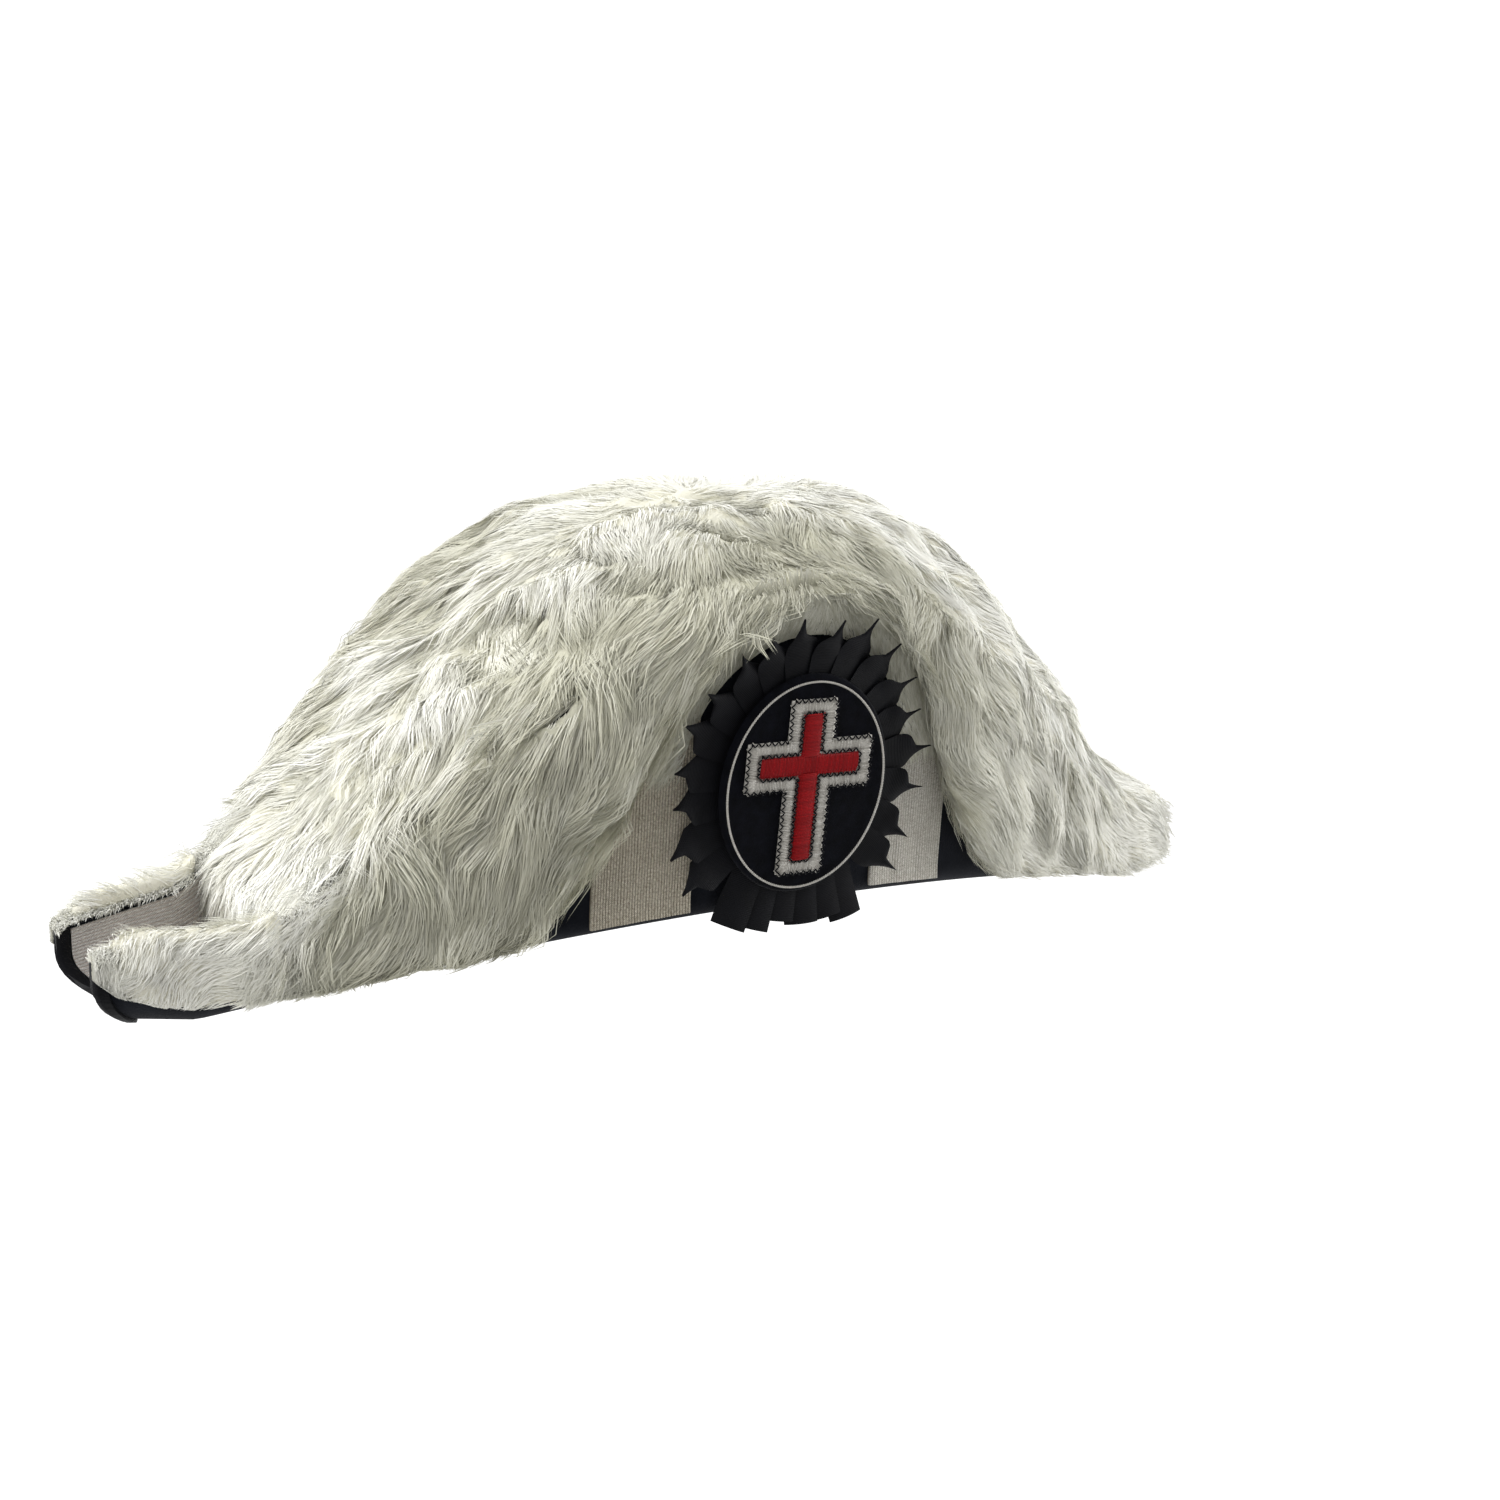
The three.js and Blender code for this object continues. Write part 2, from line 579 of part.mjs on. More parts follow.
// Everything that the plume lies on, filled and grown by its clearance
function plumeCore() {
  const rings = bodyRings(PLUME_MOUTH.x, REAR_REACH + 1, (x) => {
    const top = flapTop(x) + 0.5;
    const out = (z) => wallOut(x, z) + PLUME.clear;
    const skin = PLUME.skin * inPlan(x);
    const low = hemHeight(x);
    const below = low - 60;
    const corners = [
      [-out(low), below], [-out(low), low], [-out(top), top], [-0.5 * out(top), top + 0.75 * skin],
      [0, top + skin],
      [0.5 * out(top), top + 0.75 * skin], [out(top), top], [out(low), low], [out(low), below],
    ];
    return corners.map(([y, z]) => new THREE.Vector3(x, y, z));
  });
  const inner = FELT + GAP + LACE_THICKNESS + PLUME_MOUTH.overLace;
  const trough = bodyRings(-FRONT_REACH, PLUME_MOUTH.x + 1, (x) =>
    troughRing(x, -PLUME.clear, inner, flapTop(x) + PLUME.clear),
  );
  return solidOf(loft(rings)).add(solidOf(loft(trough)));
}

// The place of the rosette, open through the plume
function rosettePlace() {
  const { halfWidth, halfHeight, behind, ahead } = ROSETTE_CLEAR;
  const place = ovalPrism(halfWidth, halfHeight, -behind, ahead);
  const frame = new THREE.Object3D();
  placeRosette(frame);
  place.applyMatrix4(frame.matrixWorld);
  return solidOf(place);
}

// The bare stretch of one flap under the plume's lower edge
function bareFlap(side, edge) {
  const line = stations(edge[0].x, edge[edge.length - 1].x, 30);
  const outline = line.map((x) => new THREE.Vector2(x, hemHeight(x) + lookUp(edge, x, 'rise')));
  const below = -20;
  outline.push(new THREE.Vector2(line[line.length - 1], below), new THREE.Vector2(line[0], below));
  const [inside, depth] = [50, 100];
  const block = new THREE.ExtrudeGeometry(new THREE.Shape(outline), { depth, bevelEnabled: false });
  block.rotateX(Math.PI / 2);
  block.translate(0, side < 0 ? -inside : inside + depth, 0);
  return solidOf(block);
}

function makeDrape() {
  const [front, rear] = DRAPE_ENDS;
  const [first, last] = [DRAPE[0].x, DRAPE[DRAPE.length - 1].x];
  const along = [
    ...stations(first, front.from, 3), ...stations(front.from, rear.from, 34).slice(1),
    ...stations(rear.from, last, 4).slice(1),
  ];
  const rings = along.map(drapeRing);
  const solid = solidOf(loft(rings))
    .subtract(plumeCore())
    .subtract(rosettePlace())
    .subtract(bareFlap(-1, LEFT_EDGE))
    .subtract(bareFlap(1, RIGHT_EDGE));
  return piece('plume_drape', 'plume', geometryOf(solid));
}

// A strip of plume along the top of one wall of the front peak
function makeTipStrip(name, side) {
  const rings = stations(BINDING_END + GAP, DRAPE[0].x - 2, 8).map((x, i) => {
    const wave = TIP_SWELL.base + TIP_SWELL.wave * Math.cos(i * TIP_SWELL.pitch);
    const grow = i === 0 ? wave - TIP_SWELL.blunt : wave;
    return TIP_SECTION.map(({ out, up, from, swell }) => {
      const away = out > 0 ? out * grow : out;
      const z = (from === 'foot' ? TIP_FOOT : flapTop(x)) + (swell ? up * grow : up);
      return at(x, side * (hemHalfWidth(x) + away), z);
    });
  });
  const wall = bodyRings(-FRONT_REACH, PEAK_LACE.to, (x) => {
    const top = flapTop(x) + GAP;
    const inner = FELT + 2 * GAP + LACE_THICKNESS;
    return [
      ...halfSection(x, side, -GAP, top),
      ...halfSection(x, side, inner, top).reverse(),
    ];
  });
  const solid = solidOf(loft(rings)).subtract(solidOf(loft(wall)));
  return piece(name, 'plume', geometryOf(solid));
}

// The whole hat, its origin at the bottom centre of its box

const hat = new THREE.Group();
hat.add(makeCrown());
hat.add(makeFlap('left_flap', -1), makeFlap('right_flap', 1));
hat.add(makePeakFloor('front_peak_floor', -1), makePeakFloor('rear_peak_floor', 1));
hat.add(makeBinding(), makePeakLace());
STRAPS.forEach((strap) => hat.add(makeStrap(strap)));
hat.add(makeRosette());
hat.add(makeDrape(), makeTipStrip('plume_tip_left', -1), makeTipStrip('plume_tip_right', 1));

const part = new THREE.Group();
part.add(hat);
part.updateMatrixWorld(true);
const box = new THREE.Box3().setFromObject(part, true);
hat.position.set(-(box.min.x + box.max.x) / 2, -(box.min.y + box.max.y) / 2, -box.min.z);
part.updateMatrixWorld(true);

export default part;
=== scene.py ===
# A fore-and-aft dress hat with a white plume, lace and a rosette.
# Shape functions work in the hat's own millimetres; place() turns them into the frame's metres.

import math

import bmesh
import bpy
import numpy as np
from mathutils import Matrix, Vector
from mathutils.bvhtree import BVHTree


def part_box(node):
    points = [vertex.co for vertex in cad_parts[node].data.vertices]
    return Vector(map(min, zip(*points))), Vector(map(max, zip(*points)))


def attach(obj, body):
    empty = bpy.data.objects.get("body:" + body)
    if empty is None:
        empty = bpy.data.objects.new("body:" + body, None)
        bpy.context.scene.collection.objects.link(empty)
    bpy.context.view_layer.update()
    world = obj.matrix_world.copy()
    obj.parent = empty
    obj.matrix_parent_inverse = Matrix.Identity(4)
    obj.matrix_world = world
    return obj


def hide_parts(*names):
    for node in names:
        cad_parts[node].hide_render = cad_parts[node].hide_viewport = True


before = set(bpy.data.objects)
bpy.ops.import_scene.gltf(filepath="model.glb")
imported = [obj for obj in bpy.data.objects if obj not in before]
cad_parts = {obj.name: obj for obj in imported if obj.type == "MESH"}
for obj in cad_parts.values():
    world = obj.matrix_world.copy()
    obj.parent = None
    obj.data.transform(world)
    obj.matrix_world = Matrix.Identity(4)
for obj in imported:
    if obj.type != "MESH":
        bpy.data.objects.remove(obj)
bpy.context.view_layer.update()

MM = 0.001
TAU = 2 * math.pi

# The hat's own origin is below the crown's centre, on the level of the peaks' floors
crown_low, crown_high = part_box("crown")
floor_low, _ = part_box("front_peak_floor")
HAT_ORIGIN = np.array([
    (crown_low.x + crown_high.x) / 2,
    (crown_low.y + crown_high.y) / 2,
    floor_low.z,
])


def place(points):
    return np.asarray(points, float) * MM + HAT_ORIGIN


def unplace(points):
    return (np.asarray(points, float) - HAT_ORIGIN) / MM


# Sizes of the body, in millimetres
FRONT_REACH = 235
REAR_REACH = 222
HEM_HALF_WIDTH = 91
PEAK_HALF_WIDTH = 24
PLAN_POWER = 1.37
HEM_ARCH = 32
ARCH_POWER = 1.15
REST_REACH = 205
FLAP_TOP = 151
PEAK_TOP = 28
PEAK_RISE = 5
FLARE = math.radians(7.5)
FELT = 2.5
GAP = 0.3
FLAP_LINE = dict(reach=188, power=1.6, tip_power=0.3)
FOLD_MIDDLE = 8
FOLD_TIP = 19
RAKE = dict(length=17, height=20, power=2.5, fade=8)
CROWN = dict(half_length=101, half_width=82.5, top=146, spring=64, wall=2, power=2.2)

STRAPS = [
    dict(name="lace_strap_front", start=-73, end=-36, low=4, high=84, pitch=1.05, relief=0.45),
    dict(name="lace_strap_rear", start=39, end=74, low=4, high=70, pitch=1.2, relief=0.25),
]
STRAP_THICKNESS = 1.2
LACE_THICKNESS = 0.9
PEAK_LACE = dict(end=-150, rim=3, pitch=1.55, relief=0.45, stations=18, columns=400)
# How far the grooves of the lace lie under its face
GROOVE = 0.35
BINDING = dict(width=4, thickness=1.1)

ROSETTE = dict(x=3, z=81.5, tilt=math.radians(-2))
DISC = dict(half_width=34, half_height=41, thickness=1.8, base=5.8)
PETAL = dict(count=24, half_width=54.5, half_height=64, root=0.62)
HANGING = dict(start=-128, end=-52, below=4, splay=1.2)
CROSS = dict(half_width=20, up=19, down=36, arm=7.7, border=5.9, centre=8)
CROSS_BASE = 7.9
CORD = dict(twist=0.2, thread=0.27)


# Shape of the body along the hat

def reach_at(x):
    return np.where(x < 0, FRONT_REACH, REAR_REACH)


def in_plan(x):
    return np.clip(1 - (x / reach_at(x)) ** 2, 0, 1)


def hem_half_width(x):
    return PEAK_HALF_WIDTH + (HEM_HALF_WIDTH - PEAK_HALF_WIDTH) * in_plan(x) ** PLAN_POWER


def hem_height(x):
    return HEM_ARCH * np.clip(1 - (x / REST_REACH) ** 2, 0, 1) ** ARCH_POWER


def flap_top(x):
    reach = reach_at(x)
    from_tip = np.clip((reach - np.abs(x)) / (reach - FLAP_LINE["reach"]), 0, 1)
    share = np.clip(1 - (x / FLAP_LINE["reach"]) ** 2, 0, 1)
    peak = PEAK_TOP + PEAK_RISE * from_tip ** FLAP_LINE["tip_power"]
    return peak + (FLAP_TOP - PEAK_TOP - PEAK_RISE) * share ** FLAP_LINE["power"]


def fold_radius(x):
    return FOLD_TIP + (FOLD_MIDDLE - FOLD_TIP) * in_plan(x)


def wall_out(x, z):
    lean = math.tan(FLARE) * in_plan(x)
    return hem_half_width(x) + lean * np.maximum(0, z - hem_height(x) - fold_radius(x))


def raked(x, level):
    """Low rows of a peak's end move towards the middle."""
    share = np.clip(np.abs(x) / reach_at(x), 0, 1) ** RAKE["fade"]
    under = np.maximum(0, 1 - level / RAKE["height"]) ** RAKE["power"]
    return x - np.sign(x) * RAKE["length"] * share * under


def smooth(value):
    value = np.clip(value, 0, 1)
    return value * value * (3 - 2 * value)


def unit(vectors):
    return vectors / (np.linalg.norm(vectors, axis=-1, keepdims=True) + 1e-9)


# Meshes

def linked_object(name, data):
    made = bpy.data.objects.new(name, data)
    bpy.context.scene.collection.objects.link(made)
    return made


def smooth_faces(mesh):
    mesh.polygons.foreach_set("use_smooth", [True] * len(mesh.polygons))


def new_object(name, vertices, faces, material):
    mesh = bpy.data.meshes.new(name)
    mesh.from_pydata([tuple(v) for v in vertices], [], faces)
    mesh.validate()
    smooth_faces(mesh)
    mesh.materials.append(material)
    mesh.update()
    return linked_object(name, mesh)


def add_piece(piece, slot, *replaced):
    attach(piece, "root")
    if replaced:
        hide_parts(*replaced)
    return piece


def grid_faces(rows, columns, closed_rows=False, closed_columns=False, start=0):
    """Four-sided faces over a grid of points stored row by row."""
    r = np.arange(rows if closed_rows else rows - 1)
    c = np.arange(columns if closed_columns else columns - 1)
    r, c = np.meshgrid(r, c, indexing="ij")
    r, c = r.ravel(), c.ravel()
    rn, cn = (r + 1) % rows, (c + 1) % columns
    corners = np.stack([r * columns + c, r * columns + cn, rn * columns + cn, rn * columns + c], 1)
    return (corners + start).tolist()


def loft_parts(rings):
    """Closed rings of equal size, skinned and capped. Returns vertices and faces."""
    rings = np.asarray(rings)
    rows, columns = rings.shape[:2]
    faces = grid_faces(rows, columns, closed_columns=True)
    faces.append(list(range(columns - 1, -1, -1)))
    faces.append([(rows - 1) * columns + i for i in range(columns)])
    return rings.reshape(-1, 3), faces


def sheet_faces(rows, columns):
    """Faces of a sheet whose face and back are two equal grids, closed round its edges."""
    size = rows * columns
    faces = grid_faces(rows, columns)
    faces += [polygon[::-1] for polygon in grid_faces(rows, columns, start=size)]
    rim = (
        [(0, c) for c in range(columns)] + [(r, columns - 1) for r in range(1, rows)]
        + [(rows - 1, c) for c in range(columns - 2, -1, -1)] + [(r, 0) for r in range(rows - 2, 0, -1)]
    )
    rim = [r * columns + c for r, c in rim]
    for a, b in zip(rim, rim[1:] + rim[:1]):
        faces.append([b, a, a + size, b + size])
    return faces


def outward(piece):
    """Turns every face of a closed mesh to point out."""
    work = bmesh.new()
    work.from_mesh(piece.data)
    bmesh.ops.recalc_face_normals(work, faces=work.faces)
    work.to_mesh(piece.data)
    work.free()
    return piece


def closed_piece(name, part, material):
    """A closed mesh, given as (vertices, faces) in the hat's millimetres."""
    vertices, faces = part
    return outward(new_object(name, place(vertices), faces, material))


def sharp_edges(piece, angle=40):
    """Smooth shading that stays crisp over edges sharper than an angle, in degrees."""
    piece.data.set_sharp_from_angle(angle=math.radians(angle))
    return piece


def join_parts(parts):
    """Several (vertices, faces) as one."""
    vertices, faces, start = [], [], 0
    for points, polygons in parts:
        vertices.append(np.asarray(points))
        faces.extend([[i + start for i in polygon] for polygon in polygons])
        start += len(points)
    return np.concatenate(vertices), faces


def tube_parts(path, radius, sides, closed=False):
    """A round tube along a path of points; returns vertices and faces."""
    path = np.asarray(path, float)
    count = len(path)
    if closed:
        tangent = np.roll(path, -1, 0) - np.roll(path, 1, 0)
    else:
        tangent = np.gradient(path, axis=0)
    tangent /= np.linalg.norm(tangent, axis=1, keepdims=True) + 1e-12
    up = np.array([0.0, 0.0, 1.0])
    across = np.cross(up, tangent)
    across /= np.linalg.norm(across, axis=1, keepdims=True) + 1e-12
    lift = np.cross(tangent, across)
    turn = np.arange(sides) * TAU / sides
    radius = np.broadcast_to(np.asarray(radius, float), (count,))
    ring = (
        path[:, None]
        + across[:, None] * (np.cos(turn)[None, :, None] * radius[:, None, None])
        + lift[:, None] * (np.sin(turn)[None, :, None] * radius[:, None, None])
    )
    faces = grid_faces(count, sides, closed_rows=closed, closed_columns=True)
    if not closed:
        faces.append(list(range(sides)))
        faces.append([(count - 1) * sides + i for i in range(sides - 1, -1, -1)])
    return ring.reshape(-1, 3), faces


# Soft random fields, the same in every run

class Waves:
    """A smooth field between about -1 and 1, a sum of waves in seeded directions."""

    def __init__(self, seed, size, count=9):
        rng = np.random.default_rng(seed)
        direction = rng.normal(size=(count, 3))
        direction /= np.linalg.norm(direction, axis=1, keepdims=True)
        length = size * rng.uniform(0.6, 1.7, count)
        self.k = direction * (TAU / length)[:, None]
        self.phase = rng.uniform(0, TAU, count)
        self.scale = 1.6 / math.sqrt(count)

    def __call__(self, points):
        return np.sin(points @ self.k.T + self.phase).sum(1) * self.scale


# Materials

def principled(material):
    return material.node_tree.nodes["Principled BSDF"]


def new_material(name, **sockets):
    material = bpy.data.materials.new(name)
    material.use_nodes = True
    for socket, value in sockets.items():
        principled(material).inputs[socket.replace("_", " ")].default_value = value
    return material


def node(material, kind, **settings):
    made = material.node_tree.nodes.new(kind)
    for key, value in settings.items():
        if key in made.inputs:
            made.inputs[key].default_value = value
        else:
            setattr(made, key, value)
    return made


def link(material, source, target):
    material.node_tree.links.new(source, target)


def attribute(material, name):
    return node(material, "ShaderNodeAttribute", attribute_name=name).outputs["Fac"]


def noise(material, scale, detail=2.0):
    made = node(material, "ShaderNodeTexNoise", Scale=scale, Detail=detail)
    coordinates = node(material, "ShaderNodeTexCoord").outputs["Object"]
    link(material, coordinates, made.inputs["Vector"])
    return made.outputs["Fac"]


def mixed(material, factor, first, second):
    """A colour between two, each a colour or a socket."""
    made = node(material, "ShaderNodeMix", data_type="RGBA")
    link(material, factor, made.inputs["Factor"])
    for index, value in ((6, first), (7, second)):
        if isinstance(value, tuple):
            made.inputs[index].default_value = (*value, 1)
        else:
            link(material, value, made.inputs[index])
    return made.outputs[2]


def spread(material, value, low, high, to_low=0.0, to_high=1.0):
    made = node(material, "ShaderNodeMapRange")
    link(material, value, made.inputs["Value"])
    for socket, number in (("From Min", low), ("From Max", high), ("To Min", to_low), ("To Max", to_high)):
        made.inputs[socket].default_value = number
    return made.outputs["Result"]


def paint(material, colour):
    link(material, colour, principled(material).inputs["Base Color"])


def bump(material, height, distance, strength=1.0):
    made = node(material, "ShaderNodeBump", Strength=strength, Distance=distance)
    link(material, height, made.inputs["Height"])
    normal = principled(material).inputs["Normal"]
    if normal.links:
        link(material, normal.links[0].from_socket, made.inputs["Normal"])
    link(material, made.outputs["Normal"], normal)


def felt_material():
    material = new_material(
        "felt_black", Roughness=1.0, Specular_IOR_Level=0.1, Sheen_Weight=0.04, Sheen_Roughness=0.5,
    )
    patches = spread(material, noise(material, 60, 3), 0.35, 0.7)
    fibres = noise(material, 1500, 3)
    shade = mixed(material, patches, (0.006, 0.007, 0.010), (0.014, 0.016, 0.022))
    lint = spread(material, noise(material, 2600, 1), 0.68, 0.8, 0.0, 0.35)
    paint(material, mixed(material, lint, shade, (0.05, 0.05, 0.055)))
    bump(material, fibres, 0.0003)
    return material


RIBBON_BLACK = (0.0012, 0.0014, 0.0026)


def ribbon_material():
    """Ribbed black ribbon; the second coordinate of its map runs along the ribbon, in millimetres."""
    material = new_material("ribbon_black", Roughness=0.6, Specular_IOR_Level=0.16)
    uv = node(material, "ShaderNodeUVMap", uv_map="ribbon")
    wave = node(material, "ShaderNodeTexWave", bands_direction="Y", Scale=0.5)
    link(material, uv.outputs["UV"], wave.inputs["Vector"])
    worn = spread(material, noise(material, 130, 3), 0.35, 0.75)
    light = tuple(c * 1.8 + 0.0015 for c in RIBBON_BLACK)
    paint(material, mixed(material, worn, RIBBON_BLACK, light))
    bump(material, wave.outputs["Fac"], 0.00012, 0.8)
    bump(material, noise(material, 900, 2), 0.0001, 0.5)
    return material


def velvet_material():
    material = new_material(
        "velvet_black", Roughness=1.0, Specular_IOR_Level=0.1, Sheen_Weight=0.12, Sheen_Roughness=0.35,
    )
    pile = spread(material, noise(material, 240, 4), 0.35, 0.7)
    paint(material, mixed(material, pile, (0.0015, 0.0017, 0.003), (0.004, 0.0045, 0.008)))
    bump(material, noise(material, 4200, 2), 0.0002)
    return material


# Width of one slanting thread of the lace
LACE_THREAD = 0.55


def lace_material(name, metal, painted_glint, painted_groove_shade):
    """Woven metal lace: ribs with slanting threads, grooves darkened by painted shade, and bright specks
    that are painted glints.
    """
    material = new_material(name, Metallic=0.15, Roughness=0.55)
    uv = node(material, "ShaderNodeUVMap", uv_map="weave").outputs["UV"]
    groove = attribute(material, "rib")
    weave = node(
        material, "ShaderNodeTexWave", bands_direction="DIAGONAL", Scale=0.5 / LACE_THREAD, Distortion=1.2,
        **{"Detail Scale": 3.0},
    )
    link(material, uv, weave.inputs["Vector"])
    # Bright specks: painted glints of the metal threads
    painted_glint_mask = spread(material, noise(material, 1500, 2), 0.3, 0.75)
    tone = spread(material, noise(material, 55, 2), 0.3, 0.7)
    bright = mixed(material, tone, metal, tuple(c * 0.8 for c in metal))
    thready = mixed(material, weave.outputs["Fac"], tuple(c * 0.38 for c in metal), bright)
    with_painted_glints = mixed(material, painted_glint_mask, thready, painted_glint)
    # The grooves between the ribs get a darker colour: painted shade
    paint(material, mixed(material, groove, painted_groove_shade, with_painted_glints))
    bump(material, weave.outputs["Fac"], 0.00025)
    bump(material, noise(material, 2200, 2), 0.00015)
    return material


def thread_material(name, dark, light, **sockets):
    material = new_material(name, **sockets)
    tint = attribute(material, "tint")
    fine = noise(material, 2400, 2)
    varied = mixed(material, tint, dark, light)
    paint(material, mixed(material, spread(material, fine, 0.3, 0.75), dark, varied))
    bump(material, fine, 0.00012)
    return material


# Colour of strands that are partly yellowed and partly darkened by painted shade
YELLOWING_AND_SHADE = (0.55, 0.54, 0.43)


def plume_material():
    """White strands: a little darker and warmer at the root, which is painted shade among the strands,
    each lock and strand with its own tint.
    """
    material = new_material(
        "plume_strands", Roughness=0.7, Specular_IOR_Level=0.15, Sheen_Weight=0.2, Sheen_Roughness=0.45,
    )
    along = attribute(material, "along")
    tint = attribute(material, "tint")
    patch = spread(material, noise(material, 22, 2), 0.40, 0.66)
    outer = mixed(material, patch, (0.95, 0.95, 0.90), (0.90, 0.895, 0.82))
    strand = mixed(material, tint, outer, (0.98, 0.975, 0.92))
    # Strands low on the sides are partly yellowed and partly darkened by painted shade
    yellowing_and_shade_share = attribute(material, "yellowing_and_shade_share")
    strand = mixed(material, yellowing_and_shade_share, strand, YELLOWING_AND_SHADE)
    # The darker, warmer root colour is painted shade among the strands
    paint(material, mixed(material, spread(material, along, 0.0, 0.6), (0.85, 0.84, 0.74), strand))
    return material


def skin_material():
    material = new_material("plume_skin", Roughness=0.9)
    patch = spread(material, noise(material, 60, 3), 0.35, 0.7)
    # Low on the sides the skin is partly yellowed and partly darkened by painted shade
    yellowing_and_shade_share = attribute(material, "yellowing_and_shade_share")
    # The skin's colour, darker than the strands' tips, is painted shade among the roots
    skin_base = mixed(material, patch, (0.80, 0.78, 0.66), (0.86, 0.84, 0.74))
    paint(material, mixed(material, yellowing_and_shade_share, skin_base, YELLOWING_AND_SHADE))
    bump(material, noise(material, 500, 3), 0.0006)
    return material


def set_values(piece, name, values):
    """One number for each vertex."""
    layer = piece.data.attributes.new(name, "FLOAT", "POINT")
    layer.data.foreach_set("value", np.asarray(values, np.float32))


def set_uv(piece, name, per_vertex):
    """A map given by one pair for each vertex."""
    layer = piece.data.uv_layers.new(name=name)
    corner = np.zeros(len(piece.data.loops), np.int32)
    piece.data.loops.foreach_get("vertex_index", corner)
    layer.data.foreach_set("uv", np.asarray(per_vertex, np.float32)[corner].ravel())


# Body of the hat

# Steps up the wall and round the fold of the brim's section, and stations along a flap
WALL_STEPS = 5
FOLD_STEPS = 10
FLAP_STATIONS = 110


def half_section(x, side, inset, top):
    """Half of the brim's U section at one place along the hat, from the top down to the floor."""
    radius = fold_radius(x)
    low = hem_height(x)
    heights = np.linspace(top, low + radius, WALL_STEPS + 1)[:-1]
    points = [(side * (wall_out(x, z) - inset), z, z) for z in heights]
    for turn in np.linspace(0, math.pi / 2, FOLD_STEPS + 1):
        out = hem_half_width(x) - radius + (radius - inset) * math.cos(turn)
        down = math.sin(turn)
        points.append((side * out, low + radius - (radius - inset) * down, low + radius - radius * down))
    return [(float(raked(x, level)), float(y), float(z)) for y, z, level in points]


def trough_ring(x, outer, inner, top):
    """The whole U section between two insets, as one closed ring."""
    a = half_section(x, -1, outer, top) + half_section(x, 1, outer, top)[::-1]
    b = half_section(x, -1, inner, top) + half_section(x, 1, inner, top)[::-1]
    return a + b[::-1]


def make_flap(name, side, felt):
    rings = []
    for x in np.linspace(-FRONT_REACH, REAR_REACH, FLAP_STATIONS):
        top = flap_top(x)
        rings.append(half_section(x, side, 0, top) + half_section(x, side, FELT, top)[::-1])
    piece = closed_piece(name, loft_parts(rings), felt)
    return add_piece(sharp_edges(piece), "felt", name.replace("felt_", ""))


def make_crown(felt):
    """A dome, open below, its rim following the arch of the hem."""
    around, dome_rows, side_rows = 96, 22, 10
    rings = []
    for inset in (0, CROWN["wall"]):
        rows = []
        for share in np.linspace(0.02, 1, dome_rows):
            radius = math.sin(share * math.pi / 2)
            rise = max(0, 1 - radius ** CROWN["power"]) ** (1 / CROWN["power"])
            rows.append((radius, CROWN["spring"] + rise * (CROWN["top"] - inset - CROWN["spring"])))
        for share in np.linspace(1, 0, side_rows)[1:]:
            rows.append((1, CROWN["spring"] * share))
        rings.append((inset, rows if inset == 0 else rows[::-1]))
    turn = np.arange(around) * TAU / around
    points = []
    for inset, rows in rings:
        for radius, z in rows:
            x = (CROWN["half_length"] - inset) * radius * np.cos(turn)
            y = (CROWN["half_width"] - inset) * radius * np.sin(turn)
            rim = hem_height(x) + GAP
            spring = CROWN["spring"]
            height = np.where(z < spring, rim + (spring - rim) * z / spring, z)
            points.append(np.stack([x, y, height], 1))
    piece = closed_piece("felt_crown", loft_parts(points), felt)
    return add_piece(sharp_edges(piece), "felt", "crown")


def make_binding(ribbon):
    """A ribbon folded over the raked edge of the front peak."""
    tip = -FRONT_REACH
    outer = GAP + BINDING["thickness"]
    inner = FELT + GAP + LACE_THICKNESS
    steps = 12
    rings = []
    for i, x in enumerate(np.linspace(tip - outer, tip + BINDING["width"], steps)):
        place_x = max(x, tip)
        ends = min(1.0, (i + 0.4) / 3, (steps - 0.6 - i) / 1.2)
        grow = outer * ends
        ring = trough_ring(place_x, -grow, inner - (1 - ends) * 0.6, flap_top(place_x))
        rings.append([(px + x - place_x, py, pz) for px, py, pz in ring])
    piece = closed_piece("ribbon_binding", loft_parts(rings), ribbon)
    rings = np.asarray(rings)
    around = run_along(rings[steps // 2])
    uv = np.stack([np.repeat(rings[:, 0, 0], rings.shape[1]), np.tile(around, len(rings))], 1)
    set_uv(piece, "ribbon", uv)
    return add_piece(sharp_edges(piece, 50), "ribbon", "front_binding")


def run_along(points):
    """Length of a line of points up to each of them."""
    return np.concatenate([[0], np.cumsum(np.linalg.norm(np.diff(points, axis=0), axis=1))])


def resample(points, count):
    """A line of points at even steps, and its length."""
    points = np.asarray(points, float)
    run = run_along(points)
    steps = np.linspace(0, run[-1], count)
    return np.stack([np.interp(steps, run, points[:, i]) for i in range(3)], 1), run[-1]


def ribs_at(run, pitch, relief):
    """Height of rounded ribs along a run, and how far each place is from a groove, 0 to 1."""
    wave = np.abs(np.sin(math.pi * run / pitch))
    return relief * wave ** 0.7, np.clip(wave * 1.6, 0, 1)


def sheet_piece(name, surface, back, material, uv, rib):
    """A sheet given by its face and back as equal grids of points, closed round its edges."""
    vertices = np.concatenate([surface.reshape(-1, 3), back.reshape(-1, 3)])
    piece = closed_piece(name, (vertices, sheet_faces(*surface.shape[:2])), material)
    set_uv(piece, "weave", np.concatenate([uv.reshape(-1, 2)] * 2))
    set_values(piece, "rib", np.concatenate([rib.ravel()] * 2))
    return sharp_edges(piece, 60)


